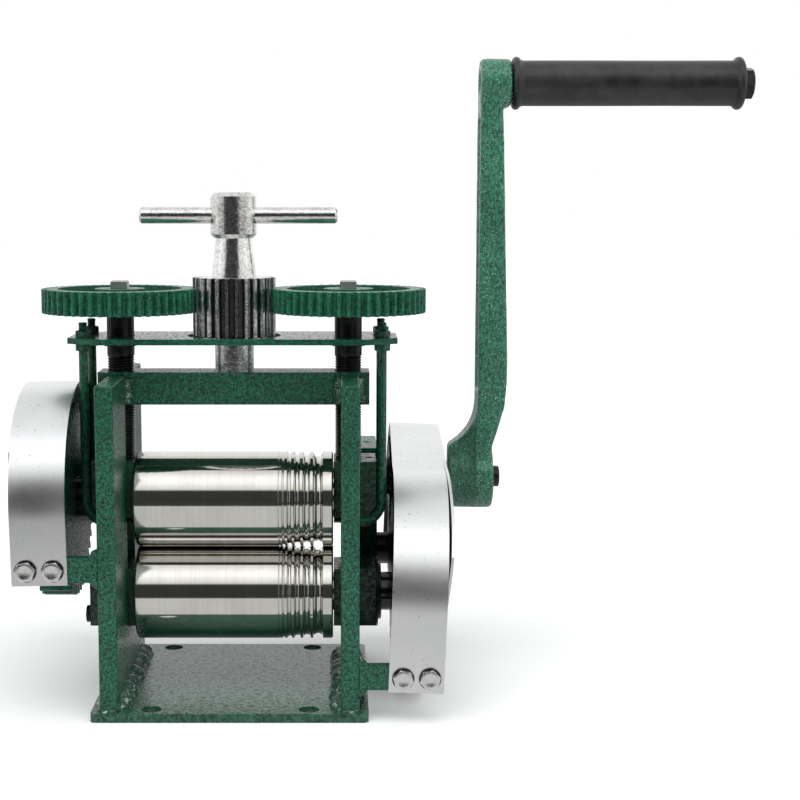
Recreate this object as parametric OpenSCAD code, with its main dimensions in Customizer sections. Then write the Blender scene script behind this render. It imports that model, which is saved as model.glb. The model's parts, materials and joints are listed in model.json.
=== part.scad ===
// Jewellers rolling mill for sheet and half-round wire, hand cranked.
// Millimetres. +X to the crank side, +Y to the rear, +Z up.
// X is 0 midway between the two cheeks, Y is 0 in the plane of both roll axes, Z is 0 under the base.

/* [Rolls] */
// Length of each roll between its shoulders
roll_len = 112; // [100:1:130]
// Diameter of each roll
roll_d = 54; // [48:1:58]
// Opening between the rolls at rest
roll_gap = 0.4; // [0.2:0.1:1.5]
// Upward travel of the upper roll
roll_travel = 7; // [4:0.5:9]
// Diameter of the journals that run in the bearing blocks
journal_d = 22; // [18:1:23]
// Chamfer on the ends of the rolls
roll_chamfer = 0.8; // [0.3:0.1:1.5]
// Diameters of the half-round wire grooves, the innermost first
groove_ds = [0.6, 1.4, 2.5, 3.5, 4.3, 5.6];
// Land between one groove and the next
groove_land = 1.45; // [1:0.05:2.5]
// Land between the widest groove and the end of the roll
groove_end_land = 5.8; // [4:0.2:9]
// Height of the lower roll's axis above the floor
lower_z = 56.1; // [52:0.5:64]

/* [Frame] */
// Thickness of the base plate
base_t = 5; // [4:0.5:10]
// Base plate beyond the outside of each cheek
base_side_lip = 5; // [3:0.5:20]
// Base plate beyond the front of the cheeks
base_front_lip = 3; // [2:0.5:20]
// Base plate beyond the rear of the cheeks
base_rear_lip = 12; // [6:0.5:30]
// Corner radius of the base plate
base_corner_r = 3; // [1:0.5:8]
// Diameter of the bench bolt holes
bench_hole_d = 11; // [6:0.5:12]
// Bench bolt holes in from the side edges of the base plate
bench_hole_side = 32.5; // [30:0.5:40]
// Bench bolt holes in from the front and rear edges of the base plate
bench_hole_end = 8; // [7:0.5:16]
// Thickness of each cheek
cheek_t = 10; // [8:0.5:14]
// Width of the cheek windows that hold the bearing blocks
window_w = 32; // [30:0.5:38]
// Height of the cross bar
bar_h = 18.3; // [16:0.1:24]
// Depth of the cross bar, front to back
bar_d = 23; // [21:0.5:28]
// Cross bar beyond the outside of each cheek
bar_lip = 6; // [2:0.5:10]
// Cross bar above the tops of the cheeks
bar_proud = 1.5; // [0.5:0.1:4]
// Free height between the upper blocks and the cross bar at rest
bar_rise = 31.9; // [20:0.5:45]
// Leg of the weld fillets
weld_leg = 6.5; // [3:0.5:8]

/* [Bearing blocks] */
// Play between a roll's end and each block
roll_play = 0.4; // [0.2:0.1:1]
// Block inside the inner face of the cheek
block_lip = 4.1; // [2:0.1:8]
// Block outside the outer face of the cheek
block_out = 10; // [8:0.5:14]
// Block outside the cheek at the blind lower left journal
blind_block_out = 11.9; // [6:0.1:12.5]
// Play of a block in its window, each side
block_play = 0.1; // [0.05:0.05:0.3]
// Height of a lower block
lower_block_h = 33; // [30:0.5:38]
// Upper block above its roll's axis
upper_block_up = 23.8; // [20:0.2:30]
// Upper block below its roll's axis
upper_block_down = 8.3; // [6:0.1:10]
// Chamfer under the outer end of an upper block, for the hooks
block_chamfer = 6; // [5:0.5:8]
// Wall of the bronze bush on each upper journal
bush_wall = 3; // [2:0.25:4]
// Radial running clearance of shafts and journals
run_clear = 0.05; // [0.02:0.01:0.09]
// Diameter of the oil holes in blocks and housings
oil_hole_d = 4; // [2:0.5:5]
// Depth of the oil holes
oil_hole_deep = 6; // [3:0.5:8]

/* [Pressure screws] */
// Outer diameter of the pressure screws
screw_d = 15.5; // [14:0.5:17]
// Pitch of their thread
screw_pitch = 1.5; // [1.25:0.25:2]
// Depth of their thread
thread_deep = 0.8; // [0.4:0.1:1]
// Smooth shank under the collar
shank_under = 5; // [2:0.5:10]
// Diameter of the collar that lifts the strap
collar_d = 19.6; // [18:0.2:24]
// Thickness of that collar
collar_t = 2.5; // [1.5:0.25:5]
// Width across the flats of the squared upper end
square_w = 9.4; // [8:0.2:12]
// Height of the squared end above the gear
square_h = 4.6; // [3:0.2:8]
// Width of the slot across the squared end
slot_w = 1.6; // [1:0.2:3]
// Depth of that slot
slot_deep = 1.6; // [1:0.2:3]

/* [Lift strap and hooks] */
// Thickness of the lift strap
strap_t = 3.3; // [2.5:0.1:6]
// Metal between the strap's pinion hole and its front and back edges
strap_web = 1.54; // [1:0.02:8]
// Lift strap beyond the hook rods
strap_end = 8.5; // [6:0.5:14]
// Corner cut of the lift strap along its length
strap_cut_x = 17; // [4:0.5:18]
// Corner cut of the lift strap across its width
strap_cut_y = 10; // [4:0.5:12]
// Height of the strap above the cross bar at rest
strap_rise = 16.7; // [12:0.1:24]
// Clearance of the strap round the pinion
strap_pinion_clear = 3; // [1.5:0.25:4]
// Diameter of the hook rods
rod_d = 5; // [4:0.5:6]
// Distance of the hook rods from the plane of the roll axes
rod_y = 16; // [14.5:0.25:16.5]
// Hook rod above the strap
rod_over = 8.5; // [6:0.5:12]
// Centreline radius of the bend at the foot of a hook rod
rod_bend_r = 12.5; // [12:0.1:12.6]
// Gap between rod and block, and between hook and block
rod_gap = 0.5; // [0.3:0.1:0.8]
// Width across the flats of the rod nuts
nut_af = 8; // [7:0.5:10]
// Height of a rod nut
nut_h = 4; // [2.5:0.25:5]

/* [Adjusting gears] */
// Pressure screws inside the middle of the cheeks
screw_inset = 0.9; // [0:0.1:2]
// Teeth of each screw gear
screw_gear_teeth = 50; // [50]
// Teeth of the adjusting pinion
adjust_pinion_teeth = 26; // [26]
// Height of the screw gears above the strap
screw_gear_rise = 13.2; // [12:0.2:18]
// Face width of the screw gears
screw_gear_w = 13.5; // [10:0.5:18]
// Width of the raised rim inside the screw gear's teeth
screw_gear_rim = 5.5; // [3:0.5:8]
// Depth of the recess in the top of a screw gear
screw_gear_recess = 5; // [2:0.5:8]
// Diameter of the screw gear's hub
screw_gear_hub_d = 28; // [24:1:36]
// Pinion's lower face above the strap, which is negative when below it
adjust_pinion_drop = 0.5; // [0.2:0.1:1]
// Length of the adjusting pinion
adjust_pinion_len = 33.5; // [30:0.5:42]
// Diameter of the pinion's shaft in the cross bar
adjust_shaft_d = 22; // [16:1:24]
// Depth of the blind bore in the cross bar
adjust_bore_deep = 14; // [10:0.5:15]
// Diameter of the neck at the pinion
neck_low_d = 25.8; // [22:0.2:27]
// Diameter of the neck under the hub
neck_top_d = 20; // [18:0.5:24]
// Height of the neck
neck_h = 22; // [15:0.5:30]
// Diameter of the T-handle's hub
tee_hub_d = 26; // [24:0.5:32]
// Height of the T-handle's hub
tee_hub_h = 25.4; // [20:0.2:32]
// Chamfer on the hub's ends
tee_hub_cut = 2.2; // [1:0.2:4]
// Diameter of the T-bar
tee_bar_d = 9.3; // [8:0.1:12]
// Length of the T-bar
tee_bar_len = 111.4; // [90:0.2:140]
// T-bar's middle to the right of the hub's axis
tee_bar_shift = 2.8; // [0:0.2:6]
// Chamfer on the T-bar's ends
tee_bar_cut = 1.2; // [0.5:0.1:2]

/* [Drive gears] */
// Module of the drive gears
drive_m = 2.5; // [2.5]
// Teeth of each roll gear
roll_gear_teeth = 42; // [42]
// Teeth of the crank pinions and the idler
pinion_teeth = 18; // [18]
// Face width of the drive gears
drive_w = 18.5; // [14:0.5:19]
// Drive gears outside the bearing housings
drive_off = 7.7; // [7.5:0.1:12]
// Depth of the recess in a roll gear's face
roll_gear_recess = 3; // [1:0.5:5]
// Rim inside the roll gear's teeth
roll_gear_rim = 8; // [5:0.5:12]
// Diameter of a roll gear's hub
roll_gear_hub_d = 38; // [32:1:46]
// Diameter of the journal's seat for its gear
gear_seat_d = 20; // [16:1:20]
// Total backlash between meshing teeth, along the pitch circle
backlash = 0.3; // [0.2:0.05:0.5]
// Diameter of the cross shaft
shaft_d = 18; // [15:1:20]
// Diameter of the idler's stud
stud_d = 14; // [10:1:16]
// Diameter of the idler's boss
idler_boss_d = 19; // [18:1:24]
// Wall of the cross shaft's bushes
shaft_bush_wall = 3; // [2:0.25:5]
// Thickness of a bearing housing
housing_t = 12; // [10:0.5:14]
// Housing above and below the cross shaft's axis
housing_half_h = 21.5; // [18:0.5:26]
// Housing below the idler's axis
housing_foot = 17.5; // [12:0.5:22]
// Lap of a housing on the outside of its cheek
housing_lap = 7.5; // [5:0.5:9]
// Width and height of the keys
key_w = 5; // [4:0.5:6]
// Thickness of the retaining rings
ring_t = 1.2; // [1:0.1:1.5]
// Wall of the retaining rings outside their shafts
ring_wall = 3.5; // [2:0.25:4]
// Shaft beyond a retaining ring
ring_end = 1; // [0.6:0.1:1.5]

/* [Guards] */
// Width of a guard's strip
guard_w = 30; // [28:0.5:34]
// Thickness of a guard's sheet
guard_t = 1.5; // [1:0.1:2.5]
// Guard clear of the roll gears
guard_gear_clear = 11; // [9:0.5:13]
// Guard clear of the crank pinions
guard_pinion_clear = 6.5; // [4:0.5:10]
// Guard's inner edge outside the bearing housing
guard_off = 3.8; // [3.5:0.1:6]
// Outward lean of the left guard
left_lean = 1.2; // [0:0.2:2]
// Outward lean of the right guard
right_lean = 2.2; // [0:0.2:2.6]
// Angle of the left guard's arc where its straight stretch starts, from the rear up
left_bend = 60; // [55:1:62]
// Angle of the right guard's arc where its straight stretch starts, from the rear up
right_bend = 85; // [70:1:95]
// Outward bow of the left guard's side plate
left_bow = 0.8; // [0.5:0.1:4]
// Outward bow of the right guard's side plate
right_bow = 3; // [0.5:0.1:4]
// Extra radius of the right guard
right_guard_more = 1.5; // [0:0.25:4]
// Right guard's centre above the lower roll's axis
right_guard_up = 2.4; // [0:0.2:4]
// Thickness of the guard brackets
bracket_t = 6; // [4:0.5:8]
// Height of the guard brackets
bracket_h = 13.6; // [11:0.2:18]
// Radius of the fillets between bracket and cheek
bracket_fillet = 5; // [2:0.5:7]
// Left guard's bolts below the upper roll's axis
left_bolt_drop = 27.1; // [22:0.2:32]
// Right guard's front bolts below the lower roll's axis
right_bolt_drop = 32; // [26:0.2:34]
// Distance between the two bolts of a leg
bolt_pitch = 14.5; // [12:0.5:17]
// Guard leg below its bolts
leg_under = 8; // [6:0.5:10]
// Thread diameter of the guard bolts
bolt_d = 6; // [5:0.5:6]
// Width across the flats of the guard bolts
bolt_af = 10; // [8:0.5:11]
// Height of a guard bolt's head
bolt_head_h = 4; // [3:0.25:6]

/* [Crank] */
// Crank arm's length between its two axes
crank_len = 240; // [180:5:300]
// Crank hub's gap to the right pinion
crank_off = 17.8; // [13:0.1:20]
// Length of the crank hub
hub_len = 27.5; // [24:0.5:36]
// Diameter of the crank hub
hub_d = 39; // [30:1:44]
// Thickness of the arm at its top
arm_top_t = 13.5; // [11:0.5:18]
// Thickness of the arm where it is thickest
arm_low_t = 18; // [14:0.5:22]
// Width of the arm at its foot
arm_low_w = 31; // [26:1:36]
// Width of the arm at its top
arm_top_w = 25; // [20:1:29]
// Arm's flat face inside the hub's outer face
arm_inset = 10; // [6:0.5:14]
// Diameter of the boss at the top of the arm
top_boss_d = 29.6; // [26:0.2:36]
// Length of that boss
top_boss_len = 19.2; // [16:0.2:28]
// Diameter of the black bolt in the crank hub
crank_bolt_d = 8; // [6:0.5:8]
// Diameter of its head
crank_bolt_head_d = 13; // [12:0.5:16]
// Height of its head
crank_bolt_head_h = 4.6; // [3:0.2:8]

/* [Grip] */
// Length of the grip
grip_len = 138.8; // [100:1:160]
// Diameter of the grip
grip_d = 27; // [22:0.5:34]
// Diameter of the beads at both ends of the grip
grip_bead_d = 31.5; // [28:0.5:40]
// Width of a bead
grip_bead_w = 5; // [3:0.5:8]
// Gap between the grip and the arm's boss
grip_gap = 0.3; // [0.2:0.1:1]
// Diameter of the spindle inside the grip
spindle_d = 10; // [8:0.5:12]
// Width across the flats of the spindle's hexagon head
spindle_af = 17.5; // [14:0.5:20]
// Height of the spindle's hexagon head
spindle_head_h = 6; // [4:0.5:10]

/* [Hidden] */

$fn = 64;
// Overrun of every cut past the face it opens
over = 1;
pressure_angle = 20;
deg_per_rad = 180 / PI;
// Roots of the teeth as a share of the module
foot_share = 1.2;
// Tips of the drive teeth and of the stubbier adjusting teeth, as shares of the module
drive_tip_share = 1;
adjust_tip_share = 0.8;
// Places of the flank points between the base and the tip of a tooth
flank_shares = [0, 0.3, 0.65, 1];

// Heights and places along X
upper_z = lower_z + roll_d + roll_gap;
block_in_x = roll_len / 2 + roll_play;
cheek_in_x = block_in_x + block_lip;
cheek_out_x = cheek_in_x + cheek_t;
block_out_x = cheek_out_x + block_out;
housing_x = cheek_out_x + housing_t;
drive_x = housing_x + drive_off;
drive_end_x = drive_x + drive_w;
upper_block_top = upper_z + upper_block_up;
upper_block_low = upper_z - upper_block_down;
window_floor = lower_z - lower_block_h / 2;
bar_z = upper_block_top + bar_rise;
bar_top = bar_z + bar_h;
cheek_top = bar_top - bar_proud;
strap_z = bar_top + strap_rise;
strap_top = strap_z + strap_t;

// Drive train in the plane of Y and Z
gear_r = roll_gear_teeth * drive_m / 2;
pinion_r = pinion_teeth * drive_m / 2;
gear_tip_r = gear_r + drive_m * drive_tip_share;
pinion_tip_r = pinion_r + drive_m * drive_tip_share;
mesh_far = gear_r + pinion_r;
mesh_near = 2 * pinion_r;
crank_y = mesh_far;
crank_z = upper_z;
// The idler meshes with the crank pinion and with the lower roll's gear
crank_from_lower = norm([crank_y, crank_z - lower_z]);
crank_bearing = atan2(crank_z - lower_z, crank_y);
idler_turn = acos((mesh_far ^ 2 + crank_from_lower ^ 2 - mesh_near ^ 2)
    / (2 * mesh_far * crank_from_lower));
idler_bearing = crank_bearing - idler_turn;
idler_y = mesh_far * cos(idler_bearing);
idler_z = lower_z + mesh_far * sin(idler_bearing);
idler_to_crank = atan2(crank_z - idler_z, crank_y - idler_y);
half_step = 180 / pinion_teeth;
lower_gear_turn = idler_bearing;
idler_gear_turn = idler_bearing + 180 + half_step;
right_pinion_turn = 2 * idler_to_crank + 180 - half_step - idler_gear_turn;
left_pinion_turn = half_step;

// Frame depths
guard_in_r = gear_tip_r + guard_gear_clear;
guard_pinion_r = pinion_tip_r + guard_pinion_clear;
cheek_front = guard_in_r;
housing_half_d = guard_pinion_r - bracket_t;
housing_front = crank_y - housing_half_d;
housing_rear = crank_y + housing_half_d;
cheek_rear = housing_front + housing_lap;
base_front = cheek_front + base_front_lip;
base_rear = cheek_rear + base_rear_lip;
base_half_w = cheek_out_x + base_side_lip;

// Adjusting gears
screw_x = (cheek_in_x + cheek_out_x) / 2 - screw_inset;
adjust_m = 2 * screw_x / (screw_gear_teeth + adjust_pinion_teeth);
screw_gear_r = screw_gear_teeth * adjust_m / 2;
adjust_pinion_r = adjust_pinion_teeth * adjust_m / 2;
adjust_tip_r = adjust_pinion_r + adjust_m * adjust_tip_share;
strap_d = 2 * (adjust_tip_r + strap_pinion_clear + strap_web);
screw_gear_z = strap_top + screw_gear_rise;
screw_gear_top = screw_gear_z + screw_gear_w;
adjust_pinion_z = strap_top - adjust_pinion_drop;
neck_z = adjust_pinion_z + adjust_pinion_len;
tee_hub_z = neck_z + neck_h;
tee_bar_z = tee_hub_z + tee_hub_h / 2;

// Hook rods
rod_x = block_out_x + rod_gap + rod_d / 2;
rod_foot_z = upper_block_low - rod_gap / 2 - rod_d / 2;
strap_half_w = rod_x + strap_end;

// Guards: the axis of the lean is the line of the front bolts
guard_x = housing_x + guard_off;
guard_out_x = guard_x + guard_w;
guard_mid_x = guard_x + guard_w / 2;
left_bolt_z = upper_z - left_bolt_drop;
right_bolt_z = lower_z - right_bolt_drop;
right_rear_bolt_z = idler_z - housing_foot + leg_under;
right_guard_r = guard_in_r + right_guard_more;
right_guard_z = lower_z + right_guard_up;
bracket_under = bracket_h / 2;

// Crank
hub_x = drive_end_x + crank_off;
hub_end_x = hub_x + hub_len;
arm_x = hub_end_x - arm_inset;
handle_z = crank_z + crank_len;
grip_x = arm_x + top_boss_len + grip_gap;
grip_end_x = grip_x + grip_len;

green = [0.13, 0.36, 0.26];
black = [0.09, 0.10, 0.10];
bright = [0.80, 0.80, 0.80];
steel = [0.70, 0.71, 0.70];
sheet = [0.86, 0.87, 0.88];
bronze = [0.62, 0.47, 0.25];

// A round bar along X that starts at x
module bar_x(x, y, z, d, len) {
    translate([x, y, z]) rotate([0, 90, 0]) cylinder(d = d, h = len);
}

// A tube along X that starts at x
module tube_x(x, y, z, d, bore, len) {
    difference() {
        bar_x(x, y, z, d, len);
        bar_x(x - over, y, z, bore, len + 2 * over);
    }
}

// Extrudes an outline of Y and Z along X
module slab_x(x, len) {
    translate([x, 0, 0]) rotate([90, 0, 90]) linear_extrude(len) children();
}

// Extrudes an outline of X and Z along Y
module slab_y(y, len) {
    translate([0, y + len, 0]) rotate([90, 0, 0]) linear_extrude(len) children();
}

module box(low, high) {
    translate(low) cube(high - low);
}

function polar(r, a) = [r * cos(a), r * sin(a)];
function involute_angle(a) = tan(a) * deg_per_rad - a;

// Half the angle that a tooth fills at radius r
function tooth_half(r, teeth, pitch_r, base_r) =
    90 / teeth - backlash / 4 / pitch_r * deg_per_rad + involute_angle(pressure_angle)
    - involute_angle(acos(min(1, base_r / r)));

// Points of one involute tooth whose middle is at angle mid
function tooth_points(mid, teeth, pitch_r, base_r, root_r, tip_r) =
    let (start_r = max(base_r, root_r))
    let (radii = [for (s = flank_shares) start_r + s * (tip_r - start_r)])
    let (halves = [for (r = radii) tooth_half(r, teeth, pitch_r, base_r)])
    let (last = len(radii) - 1)
    concat(
        [polar(root_r, mid - halves[0])],
        [for (i = [0 : last]) polar(radii[i], mid - halves[i])],
        [for (i = [last : -1 : 0]) polar(radii[i], mid + halves[i])],
        [polar(root_r, mid + halves[0])]);

module gear_outline(teeth, m, tip_share) {
    pitch_r = teeth * m / 2;
    base_r = pitch_r * cos(pressure_angle);
    polygon([for (i = [0 : teeth - 1])
        each tooth_points(i * 360 / teeth, teeth, pitch_r, base_r,
            pitch_r - m * foot_share, pitch_r + m * tip_share)]);
}

// A gear on an axis along X, with the middle of one tooth at angle turn from +Y towards +Z
module gear_x(x, y, z, teeth, turn, w) {
    slab_x(x, w) translate([y, z]) rotate(turn) gear_outline(teeth, drive_m, drive_tip_share);
}

// Keyway or key on top of a shaft along X
module key_box(x, y, z, d, len) {
    box([x, y - key_w / 2, z + d / 2 - key_w / 2], [x + len, y + key_w / 2, z + d / 2 + key_w / 2]);
}

module base_plate() {
    color(green) difference() {
        union() {
            box([-base_half_w + base_corner_r, -base_front, 0],
                [base_half_w - base_corner_r, base_rear, base_t]);
            box([-base_half_w, -base_front + base_corner_r, 0],
                [base_half_w, base_rear - base_corner_r, base_t]);
            for (x = [-1, 1] * (base_half_w - base_corner_r),
                 y = [-base_front + base_corner_r, base_rear - base_corner_r])
                translate([x, y, 0]) cylinder(r = base_corner_r, h = base_t);
        }
        for (x = [-1, 1] * (base_half_w - bench_hole_side),
             y = [-base_front + bench_hole_end, base_rear - bench_hole_end])
            translate([x, y, -over]) cylinder(d = bench_hole_d, h = base_t + 2 * over);
    }
}

// A cheek with the window for its bearing blocks and the slot for the cross bar
module cheek(side) {
    color(green) slab_x(side > 0 ? cheek_in_x : -cheek_out_x, cheek_t) difference() {
        translate([-cheek_front, base_t]) square([cheek_front + cheek_rear, cheek_top - base_t]);
        translate([-window_w / 2, window_floor]) square([window_w, bar_z - window_floor]);
        translate([-bar_d / 2, bar_z - over]) square([bar_d, cheek_top - bar_z + 2 * over]);
    }
}

module left_cheek() { cheek(-1); }
module right_cheek() { cheek(1); }

module cross_bar() {
    color(green) difference() {
        box([-cheek_out_x - bar_lip, -bar_d / 2, bar_z], [cheek_out_x + bar_lip, bar_d / 2, bar_top]);
        for (x = [-1, 1] * screw_x)
            translate([x, 0, bar_z - over])
                cylinder(d = screw_d + 2 * run_clear, h = bar_h + 2 * over);
        translate([0, 0, bar_top - adjust_bore_deep])
            cylinder(d = adjust_shaft_d + 2 * run_clear, h = adjust_bore_deep + over);
    }
}

// Fillets of weld: along both faces of each cheek's foot, across its front, and beside the cross bar
module frame_welds() {
    color(green) for (side = [-1, 1]) {
        inner = side * cheek_in_x;
        outer = side * cheek_out_x;
        outer_leg = min(weld_leg, base_side_lip - over / 2);
        slab_y(-cheek_front, cheek_front + cheek_rear)
            polygon([[inner, base_t], [inner - side * weld_leg, base_t], [inner, base_t + weld_leg]]);
        slab_y(-cheek_front, cheek_front + cheek_rear)
            polygon([[outer, base_t], [outer + side * outer_leg, base_t], [outer, base_t + weld_leg]]);
        slab_x(min(inner, outer), cheek_t)
            polygon([[-cheek_front, base_t], [-cheek_front, base_t + weld_leg],
                [-cheek_front - base_front_lip + over / 2, base_t]]);
        for (x_face = [[inner, -side], [outer, side]], end = [-1, 1])
            translate([0, 0, bar_z]) linear_extrude(cheek_top - bar_z)
                polygon([[x_face[0], end * bar_d / 2],
                    [x_face[0] + x_face[1] * (bar_lip - over / 2), end * bar_d / 2],
                    [x_face[0], end * (bar_d / 2 + weld_leg)]]);
    }
}

// A lower block: a square block through the window, bored for the journal
module lower_block(side, out_x) {
    low_x = side > 0 ? block_in_x : -out_x;
    half_w = window_w / 2 - block_play;
    difference() {
        box([low_x, -half_w, window_floor], [low_x + out_x - block_in_x, half_w, lower_z + lower_block_h / 2]);
        bar_x(low_x - over, 0, lower_z, journal_d + 2 * run_clear, out_x - block_in_x + 2 * over);
        translate([side * (cheek_out_x + blind_block_out / 2), 0,
            lower_z + lower_block_h / 2 - oil_hole_deep / 2])
            cylinder(d = oil_hole_d, h = oil_hole_deep);
    }
}

module lower_left_block() {
    color(black) difference() {
        lower_block(-1, cheek_out_x + blind_block_out);
        for (y = [-1, 1] * window_w / 3)
            bar_x(-cheek_out_x - blind_block_out - over, y, block_screw_z, block_screw_d,
                blind_block_out + over);
    }
}

module lower_right_block() { color(black) lower_block(1, block_out_x); }

// Two cap screws in the outer face of the blind lower left block
block_screw_d = 5;
block_screw_head_d = 9.7;
block_screw_head_h = 2.6;
block_screw_z = lower_z - lower_block_h / 2 + block_screw_head_d / 2 + block_screw_d / 5;

module lower_block_screws() {
    face_x = cheek_out_x + blind_block_out;
    color(black) for (y = [-1, 1] * window_w / 3) {
        bar_x(-face_x, y, block_screw_z, block_screw_d, blind_block_out);
        bar_x(-face_x - block_screw_head_h, y, block_screw_z, block_screw_head_d, block_screw_head_h);
    }
}

// Stepped seal plate round the lower right journal
seal_r = 20;
seal_t = 1.2;
seal_step_r = 16;
seal_step_t = 1.8;

module lower_right_seal() {
    color(black) difference() {
        union() {
            bar_x(block_out_x, 0, lower_z, 2 * seal_r, seal_t);
            bar_x(block_out_x, 0, lower_z, 2 * seal_step_r, seal_t + seal_step_t);
        }
        bar_x(block_out_x - over, 0, lower_z, journal_d + 2 * run_clear, seal_t + seal_step_t + 2 * over);
    }
}

// A housing plate on the outside of its cheek, bored for the cross shaft's bush
module housing(side, low_z) {
    low_x = side > 0 ? cheek_out_x : -housing_x;
    difference() {
        box([low_x, housing_front, low_z], [low_x + housing_t, housing_rear, crank_z + housing_half_h]);
        bar_x(low_x - over, crank_y, crank_z, shaft_d + 2 * run_clear + 2 * shaft_bush_wall,
            housing_t + 2 * over);
        translate([low_x + housing_t / 2, crank_y, crank_z + housing_half_h - oil_hole_deep])
            cylinder(d = oil_hole_d, h = oil_hole_deep + over);
    }
}

module left_housing() { color(green) housing(-1, crank_z - housing_half_h); }

module right_housing() {
    color(green) difference() {
        housing(1, idler_z - housing_foot);
        bar_x(cheek_out_x - over, idler_y, idler_z, stud_d, housing_t + 2 * over);
    }
}

module shaft_bushes() {
    color(bronze) for (x = [-housing_x, cheek_out_x])
        tube_x(x, crank_y, crank_z, shaft_d + 2 * run_clear + 2 * shaft_bush_wall,
            shaft_d + 2 * run_clear, housing_t);
}

// A shaft's end with the groove for its retaining ring; outer is the gear's outer face
module ring_groove(x, y, z, d) {
    tube_x(x, y, z, d + 2 * over, d - 2 * ring_seat, ring_t);
}
ring_seat = 0.8;

module retaining_ring(x, y, z, d) {
    tube_x(x, y, z, d + 2 * ring_wall, d - 2 * ring_seat, ring_t);
}

ring_play = 0.2;
stud_len = drive_end_x + ring_play + ring_t + ring_end - cheek_out_x;

module idler_stud() {
    color(steel) difference() {
        bar_x(cheek_out_x, idler_y, idler_z, stud_d, stud_len);
        ring_groove(drive_end_x + ring_play, idler_y, idler_z, stud_d);
    }
}

module idler_ring() {
    color(black) retaining_ring(drive_end_x + ring_play, idler_y, idler_z, stud_d);
}

// Outline of a guard from the side. The big arc follows a roll gear as far as the angle bend, the
// small arc follows the crank pinion, and a straight stretch joins them. gap is how far the outline
// lies outside the inner face.
bend_tuck = 0.15;
module guard_outline(big_y, big_z, big_r, front_z, rear_z, bend, gap) {
    r1 = big_r + gap;
    r2 = guard_pinion_r + gap;
    crease = [big_y, big_z] + polar(r1, bend);
    away = crease - [crank_y, crank_z];
    landing = [crank_y, crank_z] + polar(r2 - bend_tuck,
        atan2(away[1], away[0]) - acos((r2 - bend_tuck) / norm(away)));
    intersection() {
        union() {
            translate([big_y, big_z]) circle(r = r1);
            translate([crank_y, crank_z]) circle(r = r2);
            polygon([[big_y, big_z], crease, landing, [crank_y, crank_z]]);
            translate([big_y - r1, front_z - over]) square([r1, big_z - front_z + over]);
            translate([big_y, rear_z]) square([crank_y - big_y + r2, crank_z - rear_z]);
        }
        union() {
            translate([big_y - r1 - over, front_z]) square([r1 + over, big_z + r1 - front_z]);
            translate([big_y - over, rear_z])
                square([crank_y - big_y + r2 + 2 * over, big_z + crank_z - rear_z]);
        }
    }
}

// The side plate of a guard, from plate_z up, bowed outwards between its lower and upper edges
module guard_plate(big_y, big_z, big_r, front_z, rear_z, bend, plate_z, bow) {
    chord = max(big_z + big_r, crank_z + guard_pinion_r) - plate_z;
    bow_r = chord ^ 2 / (8 * bow) + bow / 2;
    bow_x = guard_out_x + bow - bow_r;
    intersection() {
        slab_x(guard_out_x - 2 * guard_t, 2 * guard_t + bow) intersection() {
            guard_outline(big_y, big_z, big_r, front_z, rear_z, bend, guard_t);
            translate([big_y - 2 * big_r, plate_z]) square([4 * big_r, 2 * big_r]);
        }
        translate([bow_x, crank_y + 2 * big_r, plate_z + chord / 2]) rotate([90, 0, 0]) difference() {
            cylinder(r = bow_r, h = 4 * big_r, $fn = 360);
            translate([0, 0, -over]) cylinder(r = bow_r - guard_t, h = 4 * big_r + 2 * over, $fn = 360);
        }
    }
}

// A guard: a bent strip, and a side plate over the outer end of its upper part
module guard(big_y, big_z, big_r, front_z, rear_z, bend, plate_z, bow) {
    difference() {
        slab_x(guard_x, guard_w) guard_outline(big_y, big_z, big_r, front_z, rear_z, bend, guard_t);
        slab_x(guard_x - over, guard_w + 2 * over)
            guard_outline(big_y, big_z, big_r, front_z - over, rear_z - over, bend, 0);
    }
    guard_plate(big_y, big_z, big_r, front_z, rear_z, bend, plate_z, bow);
}
shaft_hole_clear = 5;

// Bolt places of a guard's leg, as offsets along X from its middle
bolt_offsets = [-1, 1] * bolt_pitch / 2;

module bolt_hole(x, y, z, len) {
    translate([x, y, z]) rotate([-90, 0, 0]) cylinder(d = bolt_d, h = len);
}

module leg_holes(side, z, y) {
    for (dx = bolt_offsets)
        bolt_hole(side * guard_mid_x + dx, y - 2 * over, z, guard_t + 4 * over);
}

module left_guard() {
    color(sheet) difference() {
        translate([-guard_mid_x, 0, left_bolt_z]) rotate([0, -left_lean, 0])
            translate([guard_mid_x, 0, -left_bolt_z]) mirror([1, 0, 0])
            guard(0, upper_z, guard_in_r, left_bolt_z - leg_under, left_bolt_z - leg_under,
                left_bend, upper_z, left_bow);
        leg_holes(-1, left_bolt_z, -guard_in_r - guard_t);
        leg_holes(-1, left_bolt_z, crank_y + guard_pinion_r);
    }
}

module right_guard() {
    color(sheet) difference() {
        translate([guard_mid_x, 0, right_bolt_z]) rotate([0, right_lean, 0])
            translate([-guard_mid_x, 0, -right_bolt_z])
            guard(right_guard_more, right_guard_z, right_guard_r, right_bolt_z - leg_under,
                right_rear_bolt_z - leg_under, right_bend, right_guard_z, right_bow);
        leg_holes(1, right_bolt_z, -guard_in_r - guard_t);
        leg_holes(1, right_rear_bolt_z, crank_y + guard_pinion_r);
        bar_x(guard_mid_x, crank_y, crank_z, shaft_d + 2 * shaft_hole_clear, guard_w);
    }
}

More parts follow.
